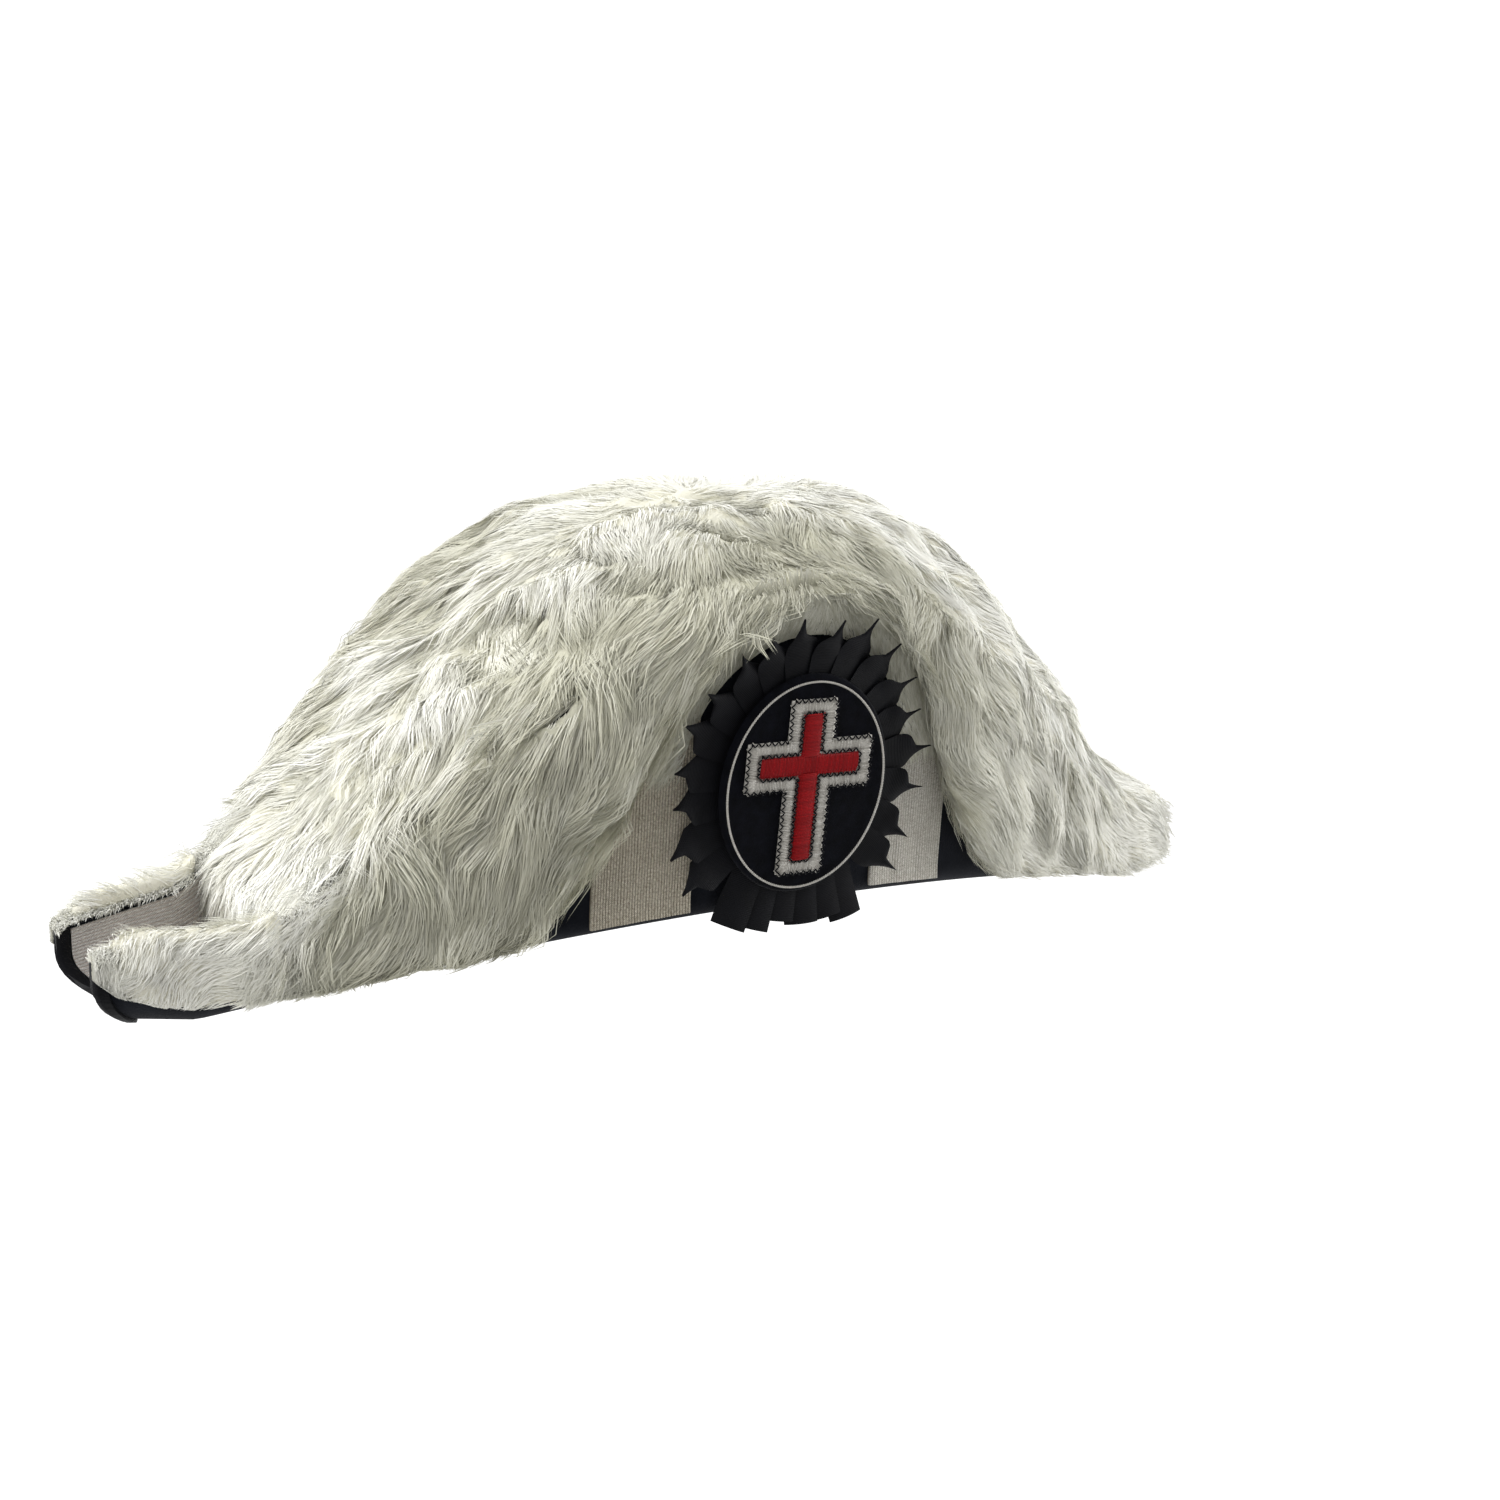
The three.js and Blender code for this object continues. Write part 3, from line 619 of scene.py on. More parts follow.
def make_peak_lace(lace):
    """Lace that lines the front peak, its ribs running lengthwise."""
    start = -FRONT_REACH + BINDING["width"] + GAP
    stations = np.linspace(start, PEAK_LACE["end"], PEAK_LACE["stations"])
    columns = PEAK_LACE["columns"]
    face, back = [], []
    for x in stations:
        top = flap_top(x) - PEAK_LACE["rim"]
        for inset, rows in ((FELT + GAP + LACE_THICKNESS, face), (FELT + GAP, back)):
            line = half_section(x, -1, inset, top) + half_section(x, 1, inset, top)[::-1]
            rows.append(resample(line, columns)[0])
    face, back = np.array(face), np.array(back)
    middle = face[PEAK_LACE["stations"] // 2]
    run = np.linspace(0, resample(middle, columns)[1], columns)
    height, groove = ribs_at(run, PEAK_LACE["pitch"], PEAK_LACE["relief"])
    inside = face - back
    inside /= np.linalg.norm(inside, axis=2, keepdims=True)
    face = face + inside * (height - GROOVE)[None, :, None]
    uv = np.stack(np.broadcast_arrays(run[None, :], stations[:, None]), 2)
    rib = np.broadcast_to(groove, face.shape[:2])
    piece = sheet_piece("lace_front_peak", face, back, lace, uv, rib)
    return add_piece(piece, "lace", "front_peak_lace")


def make_strap(strap, lace):
    """A lace strap that stands on the left flap, its ribs running up and down."""
    columns, rows = 170, 26
    x = np.linspace(strap["start"], strap["end"], columns)[None, :]
    share = np.linspace(0, 1, rows)[:, None]
    low, high = hem_height(x) + strap["low"], hem_height(x) + strap["high"]
    z = low + (high - low) * share
    x = np.broadcast_to(x, z.shape)
    height, groove = ribs_at(x - strap["start"], strap["pitch"], strap["relief"])
    edge = np.clip(np.minimum(x - strap["start"], strap["end"] - x) / 0.7, 0, 1)
    ripple = 0.25 * np.sin(x * 0.55) * np.sin(z * 0.11)
    out = GAP + (STRAP_THICKNESS - GROOVE) * np.sqrt(edge) + height + ripple * edge
    y = -wall_out(x, z)
    face = np.stack([x, y - out, z], 2)
    back = np.stack([x, y - GAP * 0.5, z], 2)
    uv = np.stack([x, z], 2)
    piece = sheet_piece(strap["name"].replace("lace_strap", "lace_band"), face, back, lace, uv, groove)
    return add_piece(piece, "lace", strap["name"])


# Rosette, drawn flat in millimetres: x along the hat, y up the flap, z away from it

ROSETTE_FRAME = (
    Matrix.Translation((ROSETTE["x"], -float(wall_out(ROSETTE["x"], ROSETTE["z"])), ROSETTE["z"]))
    @ Matrix.Rotation(math.pi / 2 + FLARE, 4, "X")
    @ Matrix.Rotation(ROSETTE["tilt"], 4, "Z")
)
ROSETTE_TURN = np.array(ROSETTE_FRAME.to_3x3())
ROSETTE_PLACE = np.array(ROSETTE_FRAME.translation)


def on_hat(points):
    return np.asarray(points, float) @ ROSETTE_TURN.T + ROSETTE_PLACE


def on_rosette(points):
    return (np.asarray(points, float) - ROSETTE_PLACE) @ ROSETTE_TURN


def rosette_piece(name, parts, material):
    """Closed parts drawn flat on the rosette, as one mesh in its place on the flap."""
    vertices, faces = join_parts(parts)
    return closed_piece(name, (on_hat(vertices), faces), material)


def flap_bow(a, b):
    """How far the flap's face lies behind the rosette's own plane."""
    along = a * math.cos(ROSETTE["tilt"]) - b * math.sin(ROSETTE["tilt"])
    up = a * math.sin(ROSETTE["tilt"]) + b * math.cos(ROSETTE["tilt"])
    face = wall_out(ROSETTE["x"] + along, ROSETTE["z"] + up * math.cos(FLARE))
    return wall_out(ROSETTE["x"], ROSETTE["z"]) + up * math.sin(FLARE) - face


# From a pleat's root to its tip: half widths of its steep edge, of its sloping edge and of one that
# hangs straight, and how far a point stands off the flap
PETAL_ROWS = [
    dict(share=0, steep=4.8, sloping=4.8, hanging=4.8, rise=0),
    dict(share=0.35, steep=6.3, sloping=6.3, hanging=6.3, rise=0),
    dict(share=0.6, steep=7.3, sloping=7.2, hanging=6.5, rise=0.5),
    dict(share=0.72, steep=7.2, sloping=6.3, hanging=6.5, rise=1.5),
    dict(share=0.78, steep=5.6, sloping=4.4, hanging=6.5, rise=2.2),
    dict(share=0.81, steep=1.9, sloping=3.6, hanging=6.5, rise=2.6),
    dict(share=0.9, steep=1.0, sloping=1.7, hanging=6.5, rise=3.8),
    dict(share=1, steep=0.15, sloping=0.15, hanging=6.5, rise=5),
]


def petal_parts(angle, rng):
    """One pleat of ribbon: flat at its root, folded and twisted to a point, or hanging straight."""
    turn = math.radians(angle)
    hangs = HANGING["start"] < angle < HANGING["end"]
    direction = np.array([math.cos(turn), math.sin(turn)])
    root = direction * (DISC["half_width"], DISC["half_height"])
    tip = direction * (PETAL["half_width"], PETAL["half_height"]) * rng.uniform(0.95, 1.04)
    if hangs:
        tip = np.array([root[0] * HANGING["splay"], HEM_ARCH - HANGING["below"] - ROSETTE["z"]])
        tip[1] += rng.uniform(-1.5, 1.0)
    root = root * PETAL["root"]
    along = tip - root
    length = np.linalg.norm(along)
    along /= length
    across = np.array([-along[1], along[0]])
    rows, columns = 30, 13
    share = np.linspace(0, 1, rows)[:, None]
    w = np.linspace(-1, 1, columns)[None, :]
    bend = rng.uniform(-1, 1) * (0.0 if hangs else 3.0)
    rows_at = [row["share"] for row in PETAL_ROWS]
    if hangs:
        half = np.interp(share, rows_at, [row["hanging"] for row in PETAL_ROWS])
        roll = 0.25 * smooth(share)
        rise = 0 * share
    else:
        steep = np.interp(share, rows_at, [row["steep"] for row in PETAL_ROWS])
        sloping = np.interp(share, rows_at, [row["sloping"] for row in PETAL_ROWS])
        left_steep = abs(math.sin(turn)) > 0.8 and rng.random() < 0.5
        half = np.where((w < 0) == left_steep, steep, sloping)
        roll = smooth((share - 0.6) / 0.4) * rng.uniform(0.5, 1.3)
        rise = np.interp(share, rows_at, [row["rise"] for row in PETAL_ROWS])
    lift = 0.5 * (w + 1) * half / 6 + 1.1
    fold = 0.9 * (1 - w * w) * smooth((share - 0.4) / 0.3)
    side = w * half * np.cos(roll * 0.8)
    depth = 2.9 + rise + lift + fold + w * half * np.sin(roll) * 0.45
    depth = np.maximum(depth, 2.7)
    sway = bend * share ** 3
    a = root[0] + along[0] * share * length + across[0] * (side + sway)
    b = root[1] + along[1] * share * length + across[1] * (side + sway)
    face = np.stack([a, b, depth - flap_bow(a, b)], 2)
    thick = 0.5 * (0.35 + 0.65 * (1 - share ** 4))
    back = face - np.stack([0 * a, 0 * b, thick + 0 * a], 2)
    vertices = np.concatenate([face.reshape(-1, 3), back.reshape(-1, 3)])
    uv = np.stack(np.broadcast_arrays(w * 6, share * length), 2).reshape(-1, 2)
    return vertices, sheet_faces(rows, columns), np.concatenate([uv, uv])


def make_petals(ribbon):
    rng = np.random.default_rng(21)
    step = 360 / PETAL["count"]
    parts, maps = [], []
    for i in range(PETAL["count"]):
        angle = step * (i + 0.5) - (0 if i < PETAL["count"] / 2 else 360)
        vertices, faces, uv = petal_parts(angle, rng)
        parts.append((vertices, faces))
        maps.append(uv)
    piece = rosette_piece("rosette_petals", parts, ribbon)
    set_uv(piece, "ribbon", np.concatenate(maps))
    return add_piece(sharp_edges(piece, 50), "ribbon", "rosette_pleats")


def make_disc(velvet):
    """The velvet oval, slightly domed, its edge rounded over."""
    around = 120
    turn = np.arange(around) * TAU / around
    profile = [(1.0, 0.0), (1.012, 0.5), (1.0, 1.2), (0.985, 1.6), (0.96, 1.8)]
    profile += [(r, 1.8 + 0.25 * (1 - r * r)) for r in np.linspace(0.93, 0.02, 16)]
    rings = [
        np.stack([
            DISC["half_width"] * r * np.cos(turn),
            DISC["half_height"] * r * np.sin(turn),
            np.full(around, DISC["base"] + h),
        ], 1)
        for r, h in profile
    ]
    piece = rosette_piece("rosette_oval", [loft_parts(rings)], velvet)
    return add_piece(sharp_edges(piece, 50), "velvet", "rosette_disc")


def make_cord(bullion):
    """Two threads twisted round each other along the edge of the oval."""
    turns = 120
    steps = turns * 7
    t = np.arange(steps) * TAU / steps
    a, b = DISC["half_width"] - 2, DISC["half_height"] - 2
    centre = np.stack([a * np.cos(t), b * np.sin(t)], 1)
    normal = np.stack([b * np.cos(t), a * np.sin(t)], 1)
    normal /= np.linalg.norm(normal, axis=1, keepdims=True)
    base = DISC["base"] + DISC["thickness"] + 0.95
    parts = []
    for phase in (0, math.pi):
        twist = t * turns + phase
        xy = centre + normal * (CORD["twist"] * np.cos(twist))[:, None]
        path = np.stack([xy[:, 0], xy[:, 1], base + CORD["twist"] * np.sin(twist)], 1)
        parts.append(tube_parts(path, CORD["thread"], 5, closed=True))
    piece = rosette_piece("rosette_ring", parts, bullion)
    set_values(piece, "tint", np.random.default_rng(5).uniform(0.3, 1, len(piece.data.vertices)))
    return add_piece(piece, "bullion", "rosette_cord")


def cross_outline(grow):
    half = CROSS["arm"] / 2 + grow
    wide = CROSS["half_width"] + grow
    high, low = CROSS["up"] + grow, -CROSS["down"] - grow
    corners = [
        (-half, low), (half, low), (half, -half), (wide, -half), (wide, half), (half, half),
        (half, high), (-half, high), (-half, half), (-wide, half), (-wide, -half), (-half, -half),
    ]
    return np.array(corners) + (0, CROSS["centre"])


def plate_parts(outline, base, thickness):
    count = len(outline)
    low = np.column_stack([outline, np.full(count, base)])
    high = np.column_stack([outline, np.full(count, base + thickness)])
    faces = [[i, (i + 1) % count, (i + 1) % count + count, i + count] for i in range(count)]
    faces.append(list(range(count - 1, -1, -1)))
    faces.append([i + count for i in range(count)])
    return np.concatenate([low, high]), faces


def stitch_parts(start, end, height, radius, arch, sides=5, steps=5):
    """One thread laid from one point to another, dipping into the cloth at both ends."""
    share = np.linspace(0, 1, steps)
    rise = height + arch * np.sin(math.pi * share) ** 0.6
    path = np.column_stack([
        start[0] + (end[0] - start[0]) * share,
        start[1] + (end[1] - start[1]) * share,
        rise,
    ])
    taper = radius * (0.55 + 0.45 * np.sin(math.pi * share) ** 0.5)
    return tube_parts(path, taper, sides)


# Black zigzag threads along the cross, by how far each lies outside the red body
EDGINGS = [
    dict(grow=CROSS["border"] - 0.6, wide=1.6, pitch=1.3, thread=0.34),
    dict(grow=0.6, wide=1.5, pitch=1.3, thread=0.34),
]


def edge_walk(outline, pitch, margin=0.0):
    """Places along each straight edge of a closed outline: point, outward normal."""
    count = len(outline)
    for i in range(count):
        a, b = outline[i], outline[(i + 1) % count]
        length = np.linalg.norm(b - a)
        along = (b - a) / length
        normal = np.array([along[1], -along[0]])
        stops = max(1, round((length - 2 * margin) / pitch))
        for k in range(stops):
            at = margin + (k + 0.5) * (length - 2 * margin) / stops
            yield a + along * at, normal, k


# Threads of the border and of the red satin: radius, arch, and steps along the edge
PURL = dict(thread=0.36, arch=0.45, pitch=0.62)
SATIN = dict(thread=0.34, arch=0.45, pitch=0.55, slant=0.3)


def satin_ends(at):
    """How far satin stitches reach from the arm's middle: by turns past its edge and short of it."""
    return CROSS["arm"] / 2 + (0.45 if round(at / SATIN["pitch"]) % 2 else -0.1)


def part_tints(parts, rng):
    """One random tint for all vertices of each part."""
    return np.concatenate([np.full(len(points), rng.uniform(0, 1)) for points, _ in parts])


def make_cross(bullion, red, black):
    """A red cross in satin stitch inside a border of silver purl, both edged in black zigzag."""
    rng = np.random.default_rng(9)
    plates = [plate_parts(cross_outline(CROSS["border"] - 0.5), CROSS_BASE, 0.7)]
    stitches = []
    middle = cross_outline(CROSS["border"] / 2)
    reach = CROSS["border"] / 2
    for point, normal, k in edge_walk(middle, PURL["pitch"]):
        out = reach * rng.uniform(0.86, 1.0) - (0.7 if k % 2 else 0.0)
        inner = reach * rng.uniform(0.9, 1.0) - (0.5 if k % 2 else 0.0)
        lean = rng.uniform(-0.25, 0.25)
        along = np.array([-normal[1], normal[0]]) * lean
        start, end = point - normal * inner - along, point + normal * out + along
        stitches.append(stitch_parts(start, end, CROSS_BASE + 0.75, PURL["thread"], PURL["arch"]))
    # Corners of the border are filled with short slanting stitches
    for corner, inside in zip(cross_outline(CROSS["border"] - 0.8), cross_outline(0.9)):
        for k in range(5):
            mirror = 1 if (corner - inside).prod() > 0 else -1
            shift = np.array([(k - 2) * 0.55, (2 - k) * 0.55 * mirror])
            start, end = inside + shift * 0.6, corner + shift
            stitches.append(stitch_parts(start, end, CROSS_BASE + 0.8, PURL["thread"], 0.4))
    zigzags = []
    for edging in EDGINGS:
        path = []
        for point, normal, k in edge_walk(cross_outline(edging["grow"]), edging["pitch"]):
            path.append(point + normal * (edging["wide"] / 2 if k % 2 else -edging["wide"] / 2))
        for a, b in zip(path, path[1:] + path[:1]):
            zigzags.append(stitch_parts(a, b, CROSS_BASE + 1.5, edging["thread"], 0.2, 4, 3))
    border = rosette_piece("cross_purl", plates + stitches, bullion)
    set_values(border, "tint", part_tints(plates + stitches, rng))
    add_piece(border, "bullion", "cross_border")
    add_piece(rosette_piece("cross_edging", zigzags, black), "velvet")

    parts = [plate_parts(cross_outline(-0.4), CROSS_BASE + 0.75, 0.8)]
    centre, slant = CROSS["centre"], SATIN["slant"]
    ends = []
    for y in np.arange(-CROSS["down"], CROSS["up"] + 0.01, SATIN["pitch"]):
        if abs(y) > CROSS["arm"] / 2 - 0.3:
            reach = satin_ends(y)
            ends.append(((-reach, y + centre), (reach, y + centre + slant)))
    for x in np.arange(-CROSS["half_width"], CROSS["half_width"] + 0.01, SATIN["pitch"]):
        reach = satin_ends(x)
        ends.append(((x, centre - reach), (x + slant, centre + reach)))
    for start, end in ends:
        parts.append(stitch_parts(start, end, CROSS_BASE + 1.25, SATIN["thread"], SATIN["arch"]))
    body = rosette_piece("cross_satin", parts, red)
    set_values(body, "tint", part_tints(parts, rng))
    add_piece(body, "red", "cross_red")


# Plume

# The way the strands are combed along the hat: share towards the rear, outwards and down
COMB = [
    dict(x=-240, along=-0.8, out=0.4, down=0.35),
    dict(x=-185, along=-0.95, out=0.3, down=0.25),
    dict(x=-165, along=-0.5, out=0.4, down=1.0),
    dict(x=-140, along=-0.62, out=0.2, down=1.0),
    dict(x=-60, along=-0.66, out=0.2, down=0.95),
    dict(x=-25, along=-0.3, out=0.35, down=1.0),
    dict(x=10, along=0.05, out=0.4, down=1.0),
    dict(x=45, along=0.3, out=0.35, down=0.95),
    dict(x=90, along=0.5, out=0.25, down=0.9),
    dict(x=180, along=0.6, out=0.2, down=0.9),
    dict(x=235, along=1.0, out=0.1, down=0.5),
]

# Length of the strands along the hat, how deep the skin lies under the plume's outer form, and how
# far above the hem the strands end, so that the black fold shows under them
GROWTH = [
    dict(x=-240, length=8, depth=2.5, above=25), dict(x=-230, length=8, depth=2.5, above=16),
    dict(x=-215, length=9, depth=3, above=11),
    dict(x=-190, length=12, depth=4, above=8.5), dict(x=-160, length=24, depth=6, above=6),
    dict(x=-100, length=29, depth=6, above=4.5), dict(x=-50, length=27, depth=3.5, above=3),
    dict(x=0, length=19, depth=0.5, above=1), dict(x=60, length=17, depth=1, above=3.5),
    dict(x=160, length=18, depth=3.5, above=4), dict(x=200, length=13, depth=2.5, above=3.5),
    dict(x=235, length=9, depth=1.5, above=3),
]

# Creases pressed into the plume near its top: from the ridge down, in length and height on the hat
CREASES = [
    dict(side=-1, top=(-2, 164), low=(-40, 138), width=8, depth=4.2),
    dict(side=-1, top=(14, 166), low=(-14, 136), width=9, depth=4.8),
    dict(side=-1, top=(40, 163), low=(26, 140), width=7, depth=3),
    dict(side=-1, top=(80, 152), low=(62, 128), width=7, depth=3),
    dict(side=-1, top=(-150, 60), low=(-128, 42), width=9, depth=3),
    dict(side=-1, top=(-72, 140), low=(-92, 96), width=9, depth=2.4),
    dict(side=1, top=(-2, 164), low=(-12, 120), width=9, depth=3.6),
    dict(side=1, top=(48, 160), low=(60, 120), width=8, depth=3),
    dict(side=1, top=(-52, 150), low=(-80, 100), width=9, depth=3),
]


# Under this height along the hat the strands are partly yellowed and partly darkened by painted shade, on
# both sides, by this share
YELLOWING_AND_SHADE_ROWS = [
    dict(x=-200, height=15, share=0.1), dict(x=-180, height=28, share=0.3),
    dict(x=-165, height=42, share=0.9), dict(x=-150, height=62, share=1),
    dict(x=-130, height=84, share=1), dict(x=-106, height=108, share=1),
    dict(x=-87, height=127, share=1), dict(x=-69, height=144, share=1),
    dict(x=-48, height=156, share=1), dict(x=-18, height=168, share=1),
    dict(x=20, height=172, share=1), dict(x=44, height=168, share=0.85),
    dict(x=74, height=134, share=0.75), dict(x=113, height=100, share=0.5),
    dict(x=160, height=55, share=0.35), dict(x=215, height=25, share=0.2),
]


def column(rows, name, x):
    return np.interp(x, [row["x"] for row in rows], [row[name] for row in rows])


def fur_floor(x):
    """The lowest place that a strand reaches."""
    return np.maximum(hem_height(x) + column(GROWTH, "above", x), 0.6 - HAT_ORIGIN[2] / MM)


def yellowing_and_shade(points):
    """How far the strands are yellowed and darkened by painted shade at each point, from 0 to 1."""
    under = column(YELLOWING_AND_SHADE_ROWS, "height", points[:, 0]) - points[:, 2]
    return column(YELLOWING_AND_SHADE_ROWS, "share", points[:, 0]) * smooth((under + 7) / 14)


def crease_depth(points):
    total = np.zeros(len(points))
    for crease in CREASES:
        a, b = np.array(crease["top"], float), np.array(crease["low"], float)
        flat = points[:, [0, 2]]
        share = np.clip(((flat - a) @ (b - a)) / ((b - a) @ (b - a)), 0, 1)
        gap = np.linalg.norm(flat - (a + share[:, None] * (b - a)), axis=1)
        near = np.exp(-((gap / crease["width"]) ** 2))
        total += crease["depth"] * near * smooth(points[:, 1] * crease["side"] / 20 + 0.3)
    return total


def core_distance(points):
    """How far a point lies outside the felt, roughly, in millimetres."""
    x, y, z = points.T
    beside = np.abs(y) - wall_out(x, z)
    above = z - flap_top(x)
    ahead = np.maximum(-FRONT_REACH - x, x - REAR_REACH)
    return np.maximum(np.maximum(beside, above), ahead)


# The plume's backings: the solid that each replaces, size of its cells in millimetres, share of the
# fur's depth, and roots before they are thinned out
SKINS = [
    dict(name="plume_back", source="plume_drape", cell=4.2, share=1.0, roots=90000, tip=False),
    dict(name="plume_back_tip_left", source="plume_tip_left", cell=1.8, share=0.6, roots=4500, tip=True),
    dict(name="plume_back_tip_right", source="plume_tip_right", cell=1.8, share=0.6, roots=4500, tip=True),
]

# The plume's front end, and the ring of roots behind the rosette's points
PLUME_MOUTH = -156
UNDER_POINTS = dict(
    count=1000, turn=(math.radians(6), math.radians(174)), share=(0.87, 1.2), depth=0.9,
)

# Where the plume laps over the front peak's walls: inwards over the lace's upper edge, outwards from
# the top, over the binding, and over its own seam, and last over the rear peak's corners. A low of
# None keeps the roots on top of the wall
WALL_EDGES = [
    dict(count=650, start=-236, end=-150, low=None, out=(-3, 0), normal=(-0.3, 0.95),
         way=(-0.5, -0.5, -0.1), length=(3, 5.5)),
    dict(count=650, start=-236, end=-150, low=None, out=(-1, 1.5), normal=(0.5, 0.85),
         way=(-0.3, 0.6, -0.1), length=(5, 8)),
    dict(count=420, start=-236.5, end=-224, low=14, out=(1.5, 2.5), normal=(0.95, 0.2),
         way=(-0.15, 0.35, -0.8), length=(5, 8)),
    dict(count=900, start=-186, end=-145, low=9, out=(2, 7), normal=(0.95, 0.25),
         way=(-0.6, 0.2, -0.5), length=(8, 12)),
    dict(count=500, start=200, end=221, low=10, out=(1.5, 3), normal=(0.9, 0.3),
         way=(0.5, 0.05, -0.4), length=(5, 8)),
]

# Strands: steps from root to tip, strands to a tuft, its radius, and room between the roots of tufts
GUIDE_STEPS = 2
CHILDREN = 11
TUFT_RADIUS = 3.4
TUFT_SPACING = 3.6
# Share of a strand's full width at its root and half way
STRAND_TAPER = (0.9, 1.0)

# Kinds of strand: over a backing, behind the rosette's points, or held at the felt's edges
GROUNDED, UNDER, HELD = 0, 1, 2

# Farthest places that a strand reaches: to the front, to the rear and from the middle plane
FURTHEST = (236.5, 233)
WIDEST = 127
# How far strands stay off the felt
FELT_CLEARANCE = 1.6

lumps = Waves(3, 34)
ripples = Waves(4, 13)


def vertex_vectors(mesh, name):
    """The places or the normals of a mesh's vertices, one row each."""
    flat = np.zeros(len(mesh.vertices) * 3, np.float32)
    mesh.vertices.foreach_get(name, flat)
    return flat.reshape(-1, 3).astype(float)


def set_places(mesh, points):
    mesh.vertices.foreach_set("co", place(points).astype(np.float32).ravel())


def make_skin(row, material):
    """The plume's backing: the solid's form drawn in by the depth of the fur, with its creases."""
    source = linked_object(row["name"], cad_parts[row["source"]].data.copy())
    remesh = source.modifiers.new("even", "REMESH")
    remesh.mode = "VOXEL"
    remesh.voxel_size = row["cell"] * MM
    soften = source.modifiers.new("soften", "SMOOTH")
    soften.factor = 0.6
    soften.iterations = 9
    made = bpy.data.meshes.new_from_object(source.evaluated_get(bpy.context.evaluated_depsgraph_get()))
    bpy.data.objects.remove(source)
    points = unplace(vertex_vectors(made, "co"))
    normals = vertex_vectors(made, "normal")
    clear = core_distance(points)
    outer = smooth((clear - 2.5) / 4)
    depth = column(GROWTH, "depth", points[:, 0]) * row["share"] + crease_depth(points)
    depth += 1.6 * lumps(points) + 0.7 * ripples(points)
    depth = np.clip(depth, 0, np.maximum(0, clear - 5) * 0.8) * outer
    points = points - normals * depth[:, None]
    points[:, 2] = np.maximum(points[:, 2], fur_floor(points[:, 0]) + 1)
    set_places(made, points)
    made.materials.clear()
    made.materials.append(material)
    smooth_faces(made)
    made.update()
    piece = linked_object(row["name"], made)
    # Share of yellowing and of painted shade at each vertex
    set_values(piece, "yellowing_and_shade_share", yellowing_and_shade(points))
    return add_piece(piece, "plume", row["source"])


def mesh_arrays(piece):
    """Triangles, vertices and vertex normals of a mesh, in the hat's millimetres."""
    mesh = piece.data
    mesh.calc_loop_triangles()
    triangles = np.zeros(len(mesh.loop_triangles) * 3, np.int32)
    mesh.loop_triangles.foreach_get("vertices", triangles)
    return triangles.reshape(-1, 3), unplace(vertex_vectors(mesh, "co")), vertex_vectors(mesh, "normal")


def on_outer_side(points, normals, tip):
    """Faces of a skin that strands grow from: not those that lie against the felt or the lace."""
    side = np.sign(points[:, 1])
    if tip:
        return (normals[:, 1] * side > 0.15) | (normals[:, 2] > 0.35)
    mouth = (points[:, 0] < PLUME_MOUTH) & (normals[:, 0] < -0.35)
    return (core_distance(points) > 2.3) | mouth


def scatter(piece, count, rng, tip):
    """Random places on the outer side of a skin: points and normals."""
    triangles, points, normals = mesh_arrays(piece)
    a, b, c = (points[triangles[:, i]] for i in range(3))
    facing = np.cross(b - a, c - a)
    area = np.linalg.norm(facing, axis=1)
    area = area * on_outer_side((a + b + c) / 3, unit(facing), tip)
    chosen = rng.choice(len(triangles), count, p=area / area.sum())
    u, v = rng.random((2, count))
    flip = u + v > 1
    u, v = np.where(flip, 1 - u, u), np.where(flip, 1 - v, v)
    w = np.stack([1 - u - v, u, v], 1)[:, :, None]
    corner = triangles[chosen]
    at = (points[corner] * w).sum(1)
    normal = (normals[corner] * w).sum(1)
    return at, unit(normal)


def rosette_roots(rng):
    """Roots on the flap behind the rosette's points, where the plume shows between them."""
    count = UNDER_POINTS["count"]
    turn = rng.uniform(*UNDER_POINTS["turn"], count)
    share = rng.uniform(*UNDER_POINTS["share"], count)
    a = share * PETAL["half_width"] * np.cos(turn)
    b = share * PETAL["half_height"] * np.sin(turn)
    points = on_hat(np.stack([a, b, UNDER_POINTS["depth"] - flap_bow(a, b)], 1))
    normals = np.tile(ROSETTE_TURN[:, 2], (count, 1))
    way = combed(points, normals)
    return points, normals, way, rng.uniform(6, 10, count)


def wall_roots(rng, edge):
    """Roots along both walls of a peak, at one height or over a range of heights."""
    count = edge["count"]
    x = rng.uniform(edge["start"], edge["end"], count)
    side = rng.choice((-1.0, 1.0), count)
    body_x = np.maximum(x, -FRONT_REACH)
    top = flap_top(body_x)
    z = top + 0.7 if edge["low"] is None else edge["low"] + (top + 1 - edge["low"]) * rng.random(count)
    out = hem_half_width(body_x) + rng.uniform(*edge["out"], count)
    points = np.stack([raked(x, z), side * out, z], 1)
    normals = unit(np.stack([0 * x - 0.1, side * edge["normal"][0], 0 * x + edge["normal"][1]], 1))
    way = np.array([edge["way"]]) * np.stack([0 * x + 1, side, 0 * x + 1], 1)
    way = unit(way + rng.normal(0, 0.22, way.shape))
    return points, normals, way, rng.uniform(*edge["length"], count)


# Large primes that turn a cell of a grid into one number, so that two cells very rarely share one
CELL_PRIMES = np.array([73856093, 19349663, 83492791], np.int64)


def thin_out(points, spacing):
    """Indices of the points left when each cell of a grid keeps one."""
    cells = np.floor(points / spacing).astype(np.int64)
    keys = np.bitwise_xor.reduce(cells * CELL_PRIMES, axis=1)
    return np.unique(keys, return_index=True)[1]


comb_turn = Waves(11, 42)
comb_wisp = Waves(12, 15)
comb_fine = Waves(13, 6)


